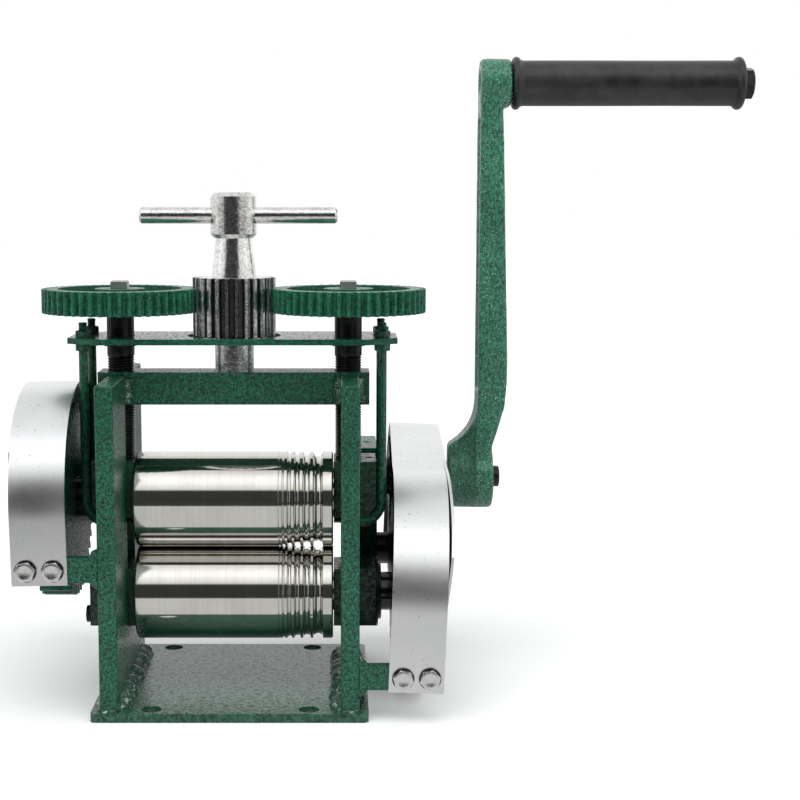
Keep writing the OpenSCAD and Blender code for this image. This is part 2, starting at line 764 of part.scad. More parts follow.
// A bracket that reaches out from x0 behind a guard's leg, with filleted roots
module bracket(side, z, y, root_x) {
    difference() {
        slab_y(y, bracket_t) mirror([side > 0 ? 0 : 1, 0]) difference() {
            union() {
                translate([root_x, z - bracket_under]) square([guard_out_x - root_x, bracket_h]);
                translate([root_x, z - bracket_under - bracket_fillet])
                    square([bracket_fillet, bracket_h + 2 * bracket_fillet]);
            }
            for (edge = [-1, 1])
                translate([root_x + bracket_fillet, z + edge * (bracket_under + bracket_fillet)])
                    circle(r = bracket_fillet);
        }
        for (dx = bolt_offsets)
            bolt_hole(side * guard_mid_x + dx, y - over, z, bracket_t + 2 * over);
    }
}

module left_guard_brackets() {
    color(green) {
        bracket(-1, left_bolt_z, -cheek_front, cheek_out_x);
        bracket(-1, left_bolt_z, housing_rear, cheek_out_x);
    }
}

module right_guard_brackets() {
    color(green) {
        bracket(1, right_bolt_z, -cheek_front, cheek_out_x);
        bracket(1, right_rear_bolt_z, housing_rear, cheek_out_x);
    }
}

module guard_bolt(x, y, z, out) {
    translate([x, y, z]) rotate([out > 0 ? -90 : 90, 0, 0]) {
        cylinder(d = bolt_af / cos(30), h = bolt_head_h, $fn = 6);
        translate([0, 0, -guard_t - bracket_t]) cylinder(d = bolt_d, h = guard_t + bracket_t);
    }
}

module guard_bolts() {
    front_y = -guard_in_r - guard_t;
    rear_y = crank_y + guard_pinion_r + guard_t;
    color(bright) for (dx = bolt_offsets) {
        guard_bolt(-guard_mid_x + dx, front_y, left_bolt_z, -1);
        guard_bolt(-guard_mid_x + dx, rear_y, left_bolt_z, 1);
        guard_bolt(guard_mid_x + dx, front_y, right_bolt_z, -1);
        guard_bolt(guard_mid_x + dx, rear_y, right_rear_bolt_z, 1);
    }
}

module lift_strap() {
    half_d = strap_d / 2;
    color(green) difference() {
        translate([0, 0, strap_z]) linear_extrude(strap_t) polygon([
            for (s = [[-1, -1], [1, -1], [1, 1], [-1, 1]])
                each (s[0] * s[1] > 0
                    ? [[s[0] * strap_half_w, s[1] * (half_d - strap_cut_y)],
                       [s[0] * (strap_half_w - strap_cut_x), s[1] * half_d]]
                    : [[s[0] * (strap_half_w - strap_cut_x), s[1] * half_d],
                       [s[0] * strap_half_w, s[1] * (half_d - strap_cut_y)]])]);
        translate([0, 0, strap_z - over])
            cylinder(r = adjust_tip_r + strap_pinion_clear, h = strap_t + 2 * over);
        for (x = [-1, 1] * screw_x)
            translate([x, 0, strap_z - over])
                cylinder(d = screw_d + 2 * run_clear, h = strap_t + 2 * over);
        for (x = [-1, 1] * rod_x, y = [-1, 1] * rod_y)
            translate([x, y, strap_z - over]) cylinder(d = rod_d, h = strap_t + 2 * over);
    }
}

// A rod that hangs from the strap and hooks in under the upper block
module hook_rod(side, y) {
    bend_z = rod_foot_z + rod_bend_r;
    translate([side * rod_x, y, bend_z])
        cylinder(d = rod_d, h = strap_top + rod_over - bend_z, $fn = 32);
    translate([side * (rod_x - rod_bend_r), y, bend_z]) rotate([90, 0, 0])
        rotate([0, 0, side > 0 ? -90 : 180])
        rotate_extrude(angle = 90, $fn = 64) translate([rod_bend_r, 0]) circle(d = rod_d, $fn = 32);
}

module hook_rods() {
    color(green) for (side = [-1, 1], y = [-1, 1] * rod_y) hook_rod(side, y);
}

module rod_nuts() {
    color(green) for (x = [-1, 1] * rod_x, y = [-1, 1] * rod_y, z = [strap_z - nut_h, strap_top])
        translate([x, y, z]) difference() {
            cylinder(d = nut_af / cos(30), h = nut_h, $fn = 6);
            translate([0, 0, -over]) cylinder(d = rod_d, h = nut_h + 2 * over);
        }
}

// An upper block: a saddle over the bush of the upper roll's journal
module upper_block(side) {
    half_w = window_w / 2 - block_play;
    cut = block_chamfer;
    color(black) difference() {
        slab_y(-half_w, 2 * half_w) mirror([side > 0 ? 0 : 1, 0]) polygon([
            [block_in_x, upper_block_low], [block_out_x - cut, upper_block_low],
            [block_out_x, upper_block_low + cut], [block_out_x, upper_block_top],
            [block_in_x, upper_block_top]]);
        bar_x(side > 0 ? block_in_x - over : -block_out_x - over, 0, upper_z,
            journal_d + 4 * run_clear + 2 * bush_wall, block_out_x - block_in_x + 2 * over);
        translate([side * (block_out_x - block_chamfer / 2 - oil_hole_d / 4), 0,
            upper_block_top - oil_hole_deep])
            cylinder(d = oil_hole_d, h = oil_hole_deep + over);
    }
}

module upper_left_block() { upper_block(-1); }
module upper_right_block() { upper_block(1); }

module upper_roll_bushes() {
    color(bronze) for (x = [-block_out_x, block_in_x])
        tube_x(x, 0, upper_z, journal_d + 2 * run_clear + 2 * bush_wall,
            journal_d + 2 * run_clear, block_out_x - block_in_x);
}

// A pressure screw: rings of thread below the collar, a smooth shank and a squared, slotted end
module pressure_screw(side) {
    thread_top = strap_z - collar_t - shank_under;
    turns = floor((thread_top - upper_block_top) / screw_pitch);
    root_r = screw_d / 2 - thread_deep;
    color(black) translate([side * screw_x, 0, 0]) difference() {
        union() {
            translate([0, 0, thread_top]) cylinder(d = screw_d, h = screw_gear_top - thread_top);
            translate([0, 0, upper_block_top]) cylinder(r = root_r, h = thread_top - upper_block_top);
            for (i = [0 : turns - 1]) {
                z = thread_top - (i + 1) * screw_pitch;
                translate([0, 0, z]) cylinder(r1 = root_r, r2 = screw_d / 2, h = screw_pitch / 2);
                translate([0, 0, z + screw_pitch / 2])
                    cylinder(r1 = screw_d / 2, r2 = root_r, h = screw_pitch / 2);
            }
            translate([-square_w / 2, -square_w / 2, screw_gear_top])
                cube([square_w, square_w, square_h]);
        }
        translate([-square_w, -slot_w / 2, screw_gear_top + square_h - slot_deep])
            cube([2 * square_w, slot_w, slot_deep + over]);
    }
}

module left_screw() { pressure_screw(-1); }
module right_screw() { pressure_screw(1); }

module screw_collar(side) {
    color(black) translate([side * screw_x, 0, strap_z - collar_t]) difference() {
        cylinder(d = collar_d, h = collar_t);
        translate([0, 0, -over]) cylinder(d = screw_d, h = collar_t + 2 * over);
    }
}

module left_screw_collar() { screw_collar(-1); }
module right_screw_collar() { screw_collar(1); }

module screw_gear(side) {
    root_r = screw_gear_r - adjust_m * foot_share;
    color(green) translate([side * screw_x, 0, screw_gear_z]) difference() {
        linear_extrude(screw_gear_w) rotate(180 / screw_gear_teeth)
            gear_outline(screw_gear_teeth, adjust_m, adjust_tip_share);
        translate([0, 0, screw_gear_w - screw_gear_recess]) difference() {
            cylinder(r = root_r - screw_gear_rim, h = screw_gear_recess + over);
            cylinder(d = screw_gear_hub_d, h = screw_gear_recess + over);
        }
        translate([0, 0, -over]) cylinder(d = screw_d, h = screw_gear_w + 2 * over);
    }
}

module left_screw_gear() { screw_gear(-1); }
module right_screw_gear() { screw_gear(1); }

// Middles of the wire grooves along X, worked inwards from the end of the roll
function groove_sum(i) = i >= len(groove_ds) - 1 ? 0
    : groove_ds[i + 1] + groove_land + groove_sum(i + 1);
groove_xs = [for (i = [0 : len(groove_ds) - 1])
    roll_len / 2 - groove_end_land - groove_ds[i] / 2 - groove_sum(i)];

// The barrel of a roll with its grooves, lying along X
module roll_barrel(z) {
    translate([-roll_len / 2, 0, z]) rotate([0, 90, 0]) difference() {
        union() {
            cylinder(d1 = roll_d - 2 * roll_chamfer, d2 = roll_d, h = roll_chamfer);
            translate([0, 0, roll_chamfer]) cylinder(d = roll_d, h = roll_len - 2 * roll_chamfer);
            translate([0, 0, roll_len - roll_chamfer])
                cylinder(d1 = roll_d, d2 = roll_d - 2 * roll_chamfer, h = roll_chamfer);
        }
        for (i = [0 : len(groove_ds) - 1])
            translate([0, 0, roll_len / 2 + groove_xs[i]])
                rotate_extrude() translate([roll_d / 2, 0]) circle(d = groove_ds[i], $fn = 24);
    }
}

// The stub of a journal that carries a gear: full size to the gear, then the seat with its ring groove
seat_len = drive_w + ring_play + ring_t + ring_end;
gear_step = 0.2;

module gear_stub(z) {
    difference() {
        union() {
            bar_x(0, 0, z, journal_d, drive_x - gear_step);
            bar_x(0, 0, z, gear_seat_d, drive_x + seat_len);
        }
        ring_groove(drive_end_x + ring_play, 0, z, gear_seat_d);
        key_box(drive_x, 0, z, gear_seat_d, drive_w);
    }
}

module upper_roll() {
    color(steel) {
        roll_barrel(upper_z);
        bar_x(0, 0, upper_z, journal_d, block_out_x - over);
        mirror([1, 0, 0]) gear_stub(upper_z);
    }
}

module lower_roll() {
    color(steel) {
        roll_barrel(lower_z);
        bar_x(-cheek_out_x - blind_block_out + over, 0, lower_z, journal_d, cheek_out_x);
        gear_stub(lower_z);
    }
}

// A roll gear with a recessed web on its outer side
module roll_gear(z, turn) {
    difference() {
        gear_x(drive_x, 0, z, roll_gear_teeth, turn, drive_w);
        difference() {
            bar_x(drive_end_x - roll_gear_recess, 0, z,
                2 * (gear_r - drive_m * foot_share - roll_gear_rim), roll_gear_recess + over);
            bar_x(drive_end_x - roll_gear_recess, 0, z, roll_gear_hub_d, roll_gear_recess + over);
        }
        bar_x(drive_x - over, 0, z, gear_seat_d, drive_w + 2 * over);
        key_box(drive_x - over, 0, z, gear_seat_d, drive_w + 2 * over);
    }
}

module upper_roll_gear() { color(green) mirror([1, 0, 0]) roll_gear(upper_z, 0); }
module lower_roll_gear() { color(black) roll_gear(lower_z, lower_gear_turn); }
module upper_gear_key() { color(steel) mirror([1, 0, 0]) key_box(drive_x, 0, upper_z, gear_seat_d, drive_w); }
module lower_gear_key() { color(steel) key_box(drive_x, 0, lower_z, gear_seat_d, drive_w); }

module upper_gear_ring() {
    color(black) mirror([1, 0, 0]) retaining_ring(drive_end_x + ring_play, 0, upper_z, gear_seat_d);
}

module lower_gear_ring() {
    color(black) retaining_ring(drive_end_x + ring_play, 0, lower_z, gear_seat_d);
}

// The idler: teeth and a boss that spaces them from the housing, running on the stud
module idler_gear() {
    boss_x = housing_x + ring_play;
    color(black) difference() {
        union() {
            gear_x(drive_x, idler_y, idler_z, pinion_teeth, idler_gear_turn, drive_w);
            bar_x(boss_x, idler_y, idler_z, idler_boss_d, drive_x - boss_x);
        }
        bar_x(boss_x - over, idler_y, idler_z, stud_d + 2 * run_clear, drive_end_x - boss_x + 2 * over);
    }
}

// The adjusting pinion with its shaft, neck and T-handle hub in one turned piece
module adjusting_pinion() {
    shaft_z = bar_top - adjust_bore_deep;
    color(bright) difference() {
        union() {
            translate([0, 0, shaft_z]) cylinder(d = adjust_shaft_d, h = adjust_pinion_z - shaft_z);
            translate([0, 0, adjust_pinion_z]) linear_extrude(adjust_pinion_len)
                gear_outline(adjust_pinion_teeth, adjust_m, adjust_tip_share);
            translate([0, 0, neck_z]) cylinder(d1 = neck_low_d, d2 = neck_top_d, h = neck_h);
            translate([0, 0, tee_hub_z])
                cylinder(d1 = tee_hub_d - 2 * tee_hub_cut, d2 = tee_hub_d, h = tee_hub_cut);
            translate([0, 0, tee_hub_z + tee_hub_cut])
                cylinder(d = tee_hub_d, h = tee_hub_h - 2 * tee_hub_cut);
            translate([0, 0, tee_hub_z + tee_hub_h - tee_hub_cut])
                cylinder(d1 = tee_hub_d, d2 = tee_hub_d - 2 * tee_hub_cut, h = tee_hub_cut);
        }
        bar_x(-tee_hub_d, 0, tee_bar_z, tee_bar_d, 2 * tee_hub_d);
    }
}

module tee_bar() {
    low_x = tee_bar_shift - tee_bar_len / 2;
    color(bright) translate([low_x, 0, tee_bar_z]) rotate([0, 90, 0]) {
        cylinder(d1 = tee_bar_d - 2 * tee_bar_cut, d2 = tee_bar_d, h = tee_bar_cut);
        translate([0, 0, tee_bar_cut]) cylinder(d = tee_bar_d, h = tee_bar_len - 2 * tee_bar_cut);
        translate([0, 0, tee_bar_len - tee_bar_cut])
            cylinder(d1 = tee_bar_d, d2 = tee_bar_d - 2 * tee_bar_cut, h = tee_bar_cut);
    }
}

// The shaft that the crank turns, with keyways for its two pinions and the crank
shaft_left_x = -drive_end_x - ring_play - ring_t - ring_end;
shaft_inset = 1.5;
bolt_grip = 14;

module cross_shaft() {
    end_x = hub_end_x - shaft_inset;
    color(steel) difference() {
        bar_x(shaft_left_x, crank_y, crank_z, shaft_d, end_x - shaft_left_x);
        ring_groove(-drive_end_x - ring_play - ring_t, crank_y, crank_z, shaft_d);
        for (x = [-drive_end_x, drive_x]) key_box(x, crank_y, crank_z, shaft_d, drive_w);
        key_box(hub_x, crank_y, crank_z, shaft_d, hub_len);
        bar_x(end_x - bolt_grip, crank_y, crank_z, crank_bolt_d, bolt_grip + over);
    }
}

module pinion(x, turn) {
    difference() {
        gear_x(x, crank_y, crank_z, pinion_teeth, turn, drive_w);
        bar_x(x - over, crank_y, crank_z, shaft_d, drive_w + 2 * over);
        key_box(x - over, crank_y, crank_z, shaft_d, drive_w + 2 * over);
    }
}

module left_pinion() { color(black) pinion(-drive_end_x, left_pinion_turn); }
module right_pinion() { color(black) pinion(drive_x, right_pinion_turn); }

module pinion_keys() {
    color(steel) for (x = [-drive_end_x, drive_x]) key_box(x, crank_y, crank_z, shaft_d, drive_w);
}

// Sleeves that keep the pinions clear of the housings
spacer_wall = 2.5;
module shaft_spacers() {
    len = drive_off - ring_play;
    color(black) for (x = [-drive_x, drive_x - len])
        tube_x(x, crank_y, crank_z, shaft_d + 2 * spacer_wall, shaft_d, len);
}

module shaft_end_ring() {
    color(black) retaining_ring(-drive_end_x - ring_play - ring_t, crank_y, crank_z, shaft_d);
}

// Side view of the arm, X outwards and Z up: flat inner face, outer face swelling above the hub
hub_cheek_share = 0.94;
arm_bend_shares = [[0.30, 1], [0.25, 0.99], [0.19, 0.92], [0.13, 0.70], [0.085, 0.50], [0.05, 0.46]];
arm_hub_t = 8.4;

module arm_side() {
    polygon(concat(
        [[arm_x, crank_z - hub_d / 2 * hub_cheek_share], [arm_x, handle_z],
         [arm_x + arm_top_t, handle_z]],
        [for (p = arm_bend_shares) [arm_x + arm_hub_t
            + (arm_low_t - arm_hub_t) * (p[1] - 0.46) / 0.54, crank_z + crank_len * p[0]]],
        [[arm_x + arm_hub_t, crank_z], [arm_x + arm_hub_t - over, crank_z - hub_d / 2 * hub_cheek_share]]));
}

// Front view of the arm, tapering upwards
module arm_front() {
    translate([crank_y, crank_z]) circle(d = arm_low_w);
    translate([crank_y, handle_z]) circle(d = arm_top_w);
    polygon([[crank_y - arm_low_w / 2, crank_z], [crank_y + arm_low_w / 2, crank_z],
        [crank_y + arm_top_w / 2, handle_z], [crank_y - arm_top_w / 2, handle_z]]);
}

// Fillet that sweeps from the arm's inner face down to the hub
arm_fillet_r = 31;
arm_fillet_up = 48.5;
module arm_web() {
    reach = arm_x - hub_x;
    difference() {
        translate([hub_x, crank_z]) square([reach, arm_fillet_up]);
        translate([arm_x - arm_fillet_r, crank_z + arm_fillet_up]) circle(r = arm_fillet_r, $fn = 128);
    }
}

// Shallow panel in the arm's inner face, inside a raised border
arm_panel_deep = 1.6;
arm_panel_rim = 5;
module arm_panel() {
    low_z = crank_z + arm_fillet_up + arm_panel_rim;
    high_z = handle_z - top_boss_d / 2 - arm_panel_rim;
    low_w = arm_low_w + (arm_top_w - arm_low_w) * (low_z - crank_z) / crank_len - 2 * arm_panel_rim;
    high_w = arm_low_w + (arm_top_w - arm_low_w) * (high_z - crank_z) / crank_len - 2 * arm_panel_rim;
    slab_x(arm_x - over, arm_panel_deep + over)
        polygon([[crank_y - low_w / 2, low_z], [crank_y + low_w / 2, low_z],
            [crank_y + high_w / 2, high_z], [crank_y - high_w / 2, high_z]]);
}

module crank_arm() {
    color(green) difference() {
        union() {
            intersection() {
                slab_y(crank_y - hub_d / 2, hub_d) arm_side();
                slab_x(arm_x - over, arm_low_t + 2 * over) arm_front();
            }
            bar_x(hub_x, crank_y, crank_z, hub_d, hub_len);
            slab_y(crank_y - arm_web_w / 2, arm_web_w) arm_web();
            bar_x(arm_x, crank_y, handle_z, top_boss_d, top_boss_len);
        }
        arm_panel();
        bar_x(hub_x - over, crank_y, crank_z, shaft_d, hub_len + over - shaft_inset);
        bar_x(hub_x, crank_y, crank_z, crank_bolt_d, hub_len + over);
        key_box(hub_x - over, crank_y, crank_z, shaft_d, hub_len + over - shaft_inset);
        bar_x(arm_x + spindle_inset, crank_y, handle_z, spindle_d, top_boss_len + over);
        bar_x(arm_x - over, crank_y, handle_z, spindle_d + 2 * over, spindle_inset + over);
    }
}
spindle_inset = 2.5;
arm_web_w = 26;

module crank_key() {
    color(steel) key_box(hub_x, crank_y, crank_z, shaft_d, hub_len - shaft_inset);
}

module crank_bolt() {
    color(black) {
        bar_x(hub_end_x - shaft_inset - bolt_grip, crank_y, crank_z, crank_bolt_d, shaft_inset + bolt_grip);
        bar_x(hub_end_x, crank_y, crank_z, crank_bolt_head_d, crank_bolt_head_h);
    }
}

module grip_spindle() {
    color(black) {
        bar_x(arm_x + spindle_inset, crank_y, handle_z, spindle_d,
            grip_end_x + grip_gap - arm_x - spindle_inset);
        translate([grip_end_x + grip_gap, crank_y, handle_z]) rotate([0, 90, 0])
            cylinder(d = spindle_af / cos(30), h = spindle_head_h, $fn = 6);
    }
}

module grip() {
    bead_r = grip_bead_w / 2;
    color(black) difference() {
        union() {
            bar_x(grip_x, crank_y, handle_z, grip_d, grip_len);
            for (x = [grip_x + bead_r, grip_end_x - bead_r])
                translate([x, crank_y, handle_z]) rotate([0, 90, 0]) rotate_extrude()
                    translate([grip_bead_d / 2 - bead_r, 0]) circle(r = bead_r, $fn = 24);
        }
        bar_x(grip_x - over, crank_y, handle_z, spindle_d + 2 * run_clear, grip_len + 2 * over);
    }
}

base_plate();
left_cheek();
right_cheek();
cross_bar();
frame_welds();
lower_left_block();
lower_right_block();
lower_block_screws();
lower_right_seal();
left_housing();
right_housing();
shaft_bushes();
idler_stud();
idler_ring();
left_guard();
right_guard();
left_guard_brackets();
right_guard_brackets();
guard_bolts();
lift_strap();
hook_rods();
rod_nuts();
upper_left_block();
upper_right_block();
left_screw();
left_screw_collar();
left_screw_gear();
right_screw();
right_screw_collar();
right_screw_gear();
upper_roll_bushes();
upper_roll();
upper_roll_gear();
upper_gear_key();
upper_gear_ring();
lower_roll();
lower_roll_gear();
lower_gear_key();
lower_gear_ring();
idler_gear();
adjusting_pinion();
tee_bar();
cross_shaft();
left_pinion();
right_pinion();
pinion_keys();
shaft_spacers();
shaft_end_ring();
crank_arm();
crank_key();
crank_bolt();
grip_spindle();
grip();
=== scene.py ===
"""Looks of the jewellers rolling mill: paint, metals and the pieces that the CAD only blocks out.

Lengths are in metres, in the frame of the CAD: X along the rolls to the crank, Y to the rear, Z up.
"""

import json
import math
import random

import bmesh
import bpy
from mathutils import Matrix, Vector, noise


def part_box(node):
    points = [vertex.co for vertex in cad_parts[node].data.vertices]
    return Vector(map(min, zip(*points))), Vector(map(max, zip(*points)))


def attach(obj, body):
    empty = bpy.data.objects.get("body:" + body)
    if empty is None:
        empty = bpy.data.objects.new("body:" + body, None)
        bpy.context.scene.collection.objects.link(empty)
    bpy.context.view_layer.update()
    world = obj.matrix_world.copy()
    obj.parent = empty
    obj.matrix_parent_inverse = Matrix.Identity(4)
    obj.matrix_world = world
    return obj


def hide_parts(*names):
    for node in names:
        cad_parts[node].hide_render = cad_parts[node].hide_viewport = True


MM = 0.001
TAU = 2 * math.pi

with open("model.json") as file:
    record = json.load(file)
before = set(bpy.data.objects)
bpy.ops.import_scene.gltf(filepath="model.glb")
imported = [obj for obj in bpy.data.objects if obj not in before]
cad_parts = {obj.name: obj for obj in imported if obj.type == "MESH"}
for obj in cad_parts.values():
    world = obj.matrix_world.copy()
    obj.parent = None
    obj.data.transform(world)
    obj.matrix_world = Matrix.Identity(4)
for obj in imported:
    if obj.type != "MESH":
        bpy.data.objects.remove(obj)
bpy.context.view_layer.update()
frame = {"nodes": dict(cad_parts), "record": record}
NODES = frame["nodes"]
SLOT_OF = {p["node"]: p["material_slot"] for p in frame["record"]["subparts"]}


# a and b are the low and the high corner of a node's box, here and below
def middle(node):
    a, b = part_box(node)
    return (a + b) / 2


# Camera, fitted to the photograph: in front of the rolls, looking a little down
CAMERA_PLACE = (0.0588, -0.906, 0.2807)
CAMERA_DOWN = 7.125

camera_data = bpy.data.cameras.new("camera")
camera_data.lens = 72
camera_data.sensor_width = 36
camera_data.shift_x = 0.0775
camera_data.clip_start = 0.05
camera_data.clip_end = 40
camera = bpy.data.objects.new("camera", camera_data)
camera.location = CAMERA_PLACE
camera.rotation_euler = (math.radians(90 - CAMERA_DOWN), 0, 0)
bpy.context.scene.collection.objects.link(camera)
bpy.context.scene.camera = camera
bpy.context.scene.view_settings.view_transform = "Standard"


class Nodes:
    """A tree of shader nodes and short ways to add to it."""

    def __init__(self, tree):
        self.tree = tree

    def add(self, kind, **values):
        node = self.tree.nodes.new(kind)
        for key, value in values.items():
            setattr(node, key, value)
        return node

    def put(self, value, socket):
        """Links a socket, or gives it a plain value, where three numbers are a colour."""
        if isinstance(value, bpy.types.NodeSocket):
            self.tree.links.new(value, socket)
        elif isinstance(value, tuple):
            socket.default_value = (*value, 1)
        else:
            socket.default_value = value

    def maths(self, kind, *values):
        """A math node on links and numbers."""
        node = self.add("ShaderNodeMath", operation=kind)
        for value, socket in zip(values, node.inputs):
            self.put(value, socket)
        return node.outputs[0]

    def axis(self, letter, place):
        """One coordinate of a place."""
        node = self.add("ShaderNodeSeparateXYZ")
        self.put(place, node.inputs[0])
        return node.outputs[letter]

    def span(self, value, start, stop, kind="LINEAR"):
        """0 where value is at start, and 1 where it is at stop."""
        node = self.add("ShaderNodeMapRange", interpolation_type=kind)
        node.inputs["From Min"].default_value = start
        node.inputs["From Max"].default_value = stop
        self.put(value, node.inputs["Value"])
        return node.outputs["Result"]

    def choose(self, factor, a, b):
        """Shader a where factor is 0, and b where it is 1."""
        node = self.add("ShaderNodeMixShader")
        for socket, source in zip(node.inputs, (factor, a, b)):
            self.put(source, socket)
        return node.outputs[0]


class Shader(Nodes):
    """A material with a Principled shader, whose textures ride on the object's own coordinates."""

    def __init__(self, name):
        self.material = bpy.data.materials.new(name)
        self.material.use_nodes = True
        super().__init__(self.material.node_tree)
        self.bsdf = self.tree.nodes["Principled BSDF"]
        self.place = self.add("ShaderNodeTexCoord").outputs["Object"]

    def stretch(self, scale, turn=(0.0, 0.0, 0.0)):
        node = self.add("ShaderNodeMapping")
        node.inputs["Rotation"].default_value = turn
        node.inputs["Scale"].default_value = scale
        self.put(self.place, node.inputs["Vector"])
        return node.outputs["Vector"]

    def noise(self, scale, detail=2.0, rough=0.5, distort=0.0, vector=None):
        node = self.add("ShaderNodeTexNoise")
        node.inputs["Scale"].default_value = scale
        node.inputs["Detail"].default_value = detail
        node.inputs["Roughness"].default_value = rough
        node.inputs["Distortion"].default_value = distort
        self.put(vector or self.place, node.inputs["Vector"])
        return node.outputs["Fac"]

    def cells(self, scale):
        """The distance from the nearest of many scattered points."""
        node = self.add("ShaderNodeTexVoronoi")
        node.inputs["Scale"].default_value = scale
        self.put(self.place, node.inputs["Vector"])
        return node.outputs["Distance"]

    def wobble(self, scale, amount):
        """The place, pushed about by noise, so that a pattern on it loses its even swells."""
        source = self.add("ShaderNodeTexNoise")
        source.inputs["Scale"].default_value = scale
        self.put(self.place, source.inputs["Vector"])
        centred = self.add("ShaderNodeVectorMath", operation="SUBTRACT")
        centred.inputs[1].default_value = (0.5, 0.5, 0.5)
        self.put(source.outputs["Color"], centred.inputs[0])
        sized = self.add("ShaderNodeVectorMath", operation="SCALE")
        sized.inputs["Scale"].default_value = amount
        self.put(centred.outputs[0], sized.inputs[0])
        moved = self.add("ShaderNodeVectorMath", operation="ADD")
        self.put(self.place, moved.inputs[0])
        self.put(sized.outputs[0], moved.inputs[1])
        return moved.outputs[0]

    def ramp(self, source, *stops):
        """Colours, or greys where a stop's value is one number, at places from 0 to 1."""
        node = self.add("ShaderNodeValToRGB")
        band = node.color_ramp
        while len(band.elements) < len(stops):
            band.elements.new(0.5)
        for element, (place, value) in zip(band.elements, stops):
            element.position = place
            element.color = (*value, 1) if isinstance(value, tuple) else (value, value, value, 1)
        self.put(source, node.inputs["Fac"])
        return node.outputs["Color"]

    def mix(self, factor, a, b, kind="MIX"):
        node = self.add("ShaderNodeMix", data_type="RGBA", blend_type=kind)
        for value, number in ((factor, 0), (a, 6), (b, 7)):
            self.put(value, node.inputs[number])
        return node.outputs[2]

    def times(self, a, b):
        return self.mix(1.0, a, b, "MULTIPLY")

    def sum(self, a, b, share=1.0):
        return self.maths("MULTIPLY_ADD", b, share, a)

    def finish(self, colour, rough, height, depth, metal=0.0):
        """Gives the shader its colour, roughness and bump, and returns the material."""
        self.put(colour, self.bsdf.inputs["Base Color"])
        self.put(rough, self.bsdf.inputs["Roughness"])
        self.put(metal, self.bsdf.inputs["Metallic"])
        bump = self.add("ShaderNodeBump")
        bump.inputs["Strength"].default_value = 1.0
        bump.inputs["Distance"].default_value = depth
        self.put(height, bump.inputs["Height"])
        self.put(bump.outputs["Normal"], self.bsdf.inputs["Normal"])
        return self.material


def toned(colour, tone):
    return tuple(tone * c for c in colour)


PAINT_DARK = (0.0022, 0.0290, 0.0160)
PAINT = (0.0066, 0.0740, 0.0395)
PAINT_LIGHT = (0.0160, 0.1420, 0.0820)


def hammered_paint(name, stroke=0.95 * MM, depth=0.22 * MM, tone=1.0, specks=0.5, rough=(0.20, 0.34)):
    """Hammer-finish enamel: short dark strokes that wind between lighter, glossy swells, with small painted
    highlights (glints) added in the share given by specks.
    """
    s = Shader(name)
    strokes = s.noise(0.72 / stroke, 1.5, 0.5, 0.8)
    fine = s.noise(2.2 / stroke, 2, 0.55, 0.5)
    height = s.sum(strokes, fine, 0.25)
    colour = s.ramp(height, (0.50, toned(PAINT_DARK, tone)), (0.61, toned(PAINT, tone)),
                    (0.75, toned(PAINT_LIGHT, tone)))
    patches = s.ramp(s.noise(26, 2, 0.5), (0.3, (0.84, 0.86, 0.86)), (0.7, (1.14, 1.12, 1.12)))
    # Painted highlights: small bright glints added to the colour, in the share given by specks
    glints = s.ramp(s.noise(3.1 / stroke, 1, 0.5), (0.66, 0.0), (0.74, (0.13, 0.24, 0.18)))
    colour = s.mix(specks, s.times(colour, patches), glints, "ADD")
    roughness = s.ramp(height, (0.52, 0.52), (0.62, rough[1]), (0.76, rough[0]))
    return s.finish(colour, roughness, height, depth)


# The ridge down the foot of the crank arm, and how far left of it the painted shade starts
RIDGE_X = 143 * MM
RIDGE_SHADE = 0.4 * MM


def cast_paint():
    """The crank's paint: lighter, over a raised slanting grain, with many small painted highlights (glints),
    and painted shade on the foot left of its ridge.
    """
    s = Shader("cast_paint")
    grain = s.noise(780, 1.5, 0.5, 0.7, s.stretch((1.0, 1.0, 0.5), (math.radians(38), 0, 0)))
    fine = s.noise(1900, 2, 0.55)
    height = s.sum(grain, fine, 0.22)
    colour = s.ramp(height, (0.42, (0.013, 0.076, 0.046)), (0.56, (0.023, 0.120, 0.072)),
                    (0.72, (0.052, 0.205, 0.128)))
    patches = s.ramp(s.noise(30, 3, 0.55), (0.3, (0.80, 0.84, 0.84)), (0.7, (1.2, 1.16, 1.16)))
    # Painted highlights: many small bright glints added to the colour
    glints = s.ramp(s.noise(1250, 1, 0.5), (0.62, 0.0), (0.70, (0.24, 0.38, 0.31)))
    colour = s.mix(0.8, s.times(colour, patches), glints, "ADD")
    # Painted shade: left of the ridge the colour is darkened, standing for the shade on that side of the foot
    left = s.maths("LESS_THAN", s.axis("X", s.place), RIDGE_X - RIDGE_SHADE)
    colour = s.mix(left, colour, s.times(colour, (0.70, 0.72, 0.72)))
    roughness = s.ramp(height, (0.46, 0.46), (0.60, 0.30), (0.74, 0.20))
    return s.finish(colour, roughness, height, 0.26 * MM)


# Width of the scratches that run round ground and turned metal, and how much longer than wide they are
SCRATCH_W = 0.13 * MM
SCRATCH_LONG = 0.02


def brushed(name, colour, rough, depth=0.004 * MM, bright_to=0.0):
    """Metal ground or turned about X. Where bright_to is given, it is oiled black beyond that X."""
    s = Shader(name)
    scale = (1 / SCRATCH_W, SCRATCH_LONG / SCRATCH_W, SCRATCH_LONG / SCRATCH_W)
    lines = s.noise(1.0, 3, 0.7, 0.0, s.stretch(scale))
    stains = s.noise(45, 4, 0.6, 0.4)
    bands = s.noise(1.0, 2, 0.6, 0.0, s.stretch(toned(scale, 0.12)))
    tint = s.ramp(s.sum(stains, bands, 0.5), (0.5, toned(colour, 0.86)), (0.95, colour))
    if bright_to:
        past = s.maths("GREATER_THAN", s.maths("ABSOLUTE", s.axis("X", s.place)), bright_to)
        oiled = s.ramp(stains, (0.35, (0.020, 0.022, 0.021)), (0.70, (0.065, 0.068, 0.064)))
        tint = s.mix(past, tint, oiled)
    roughness = s.ramp(s.sum(lines, stains, 0.5), (0.35, rough[0]), (1.0, rough[1]))
    return s.finish(tint, roughness, lines, depth, 1.0)


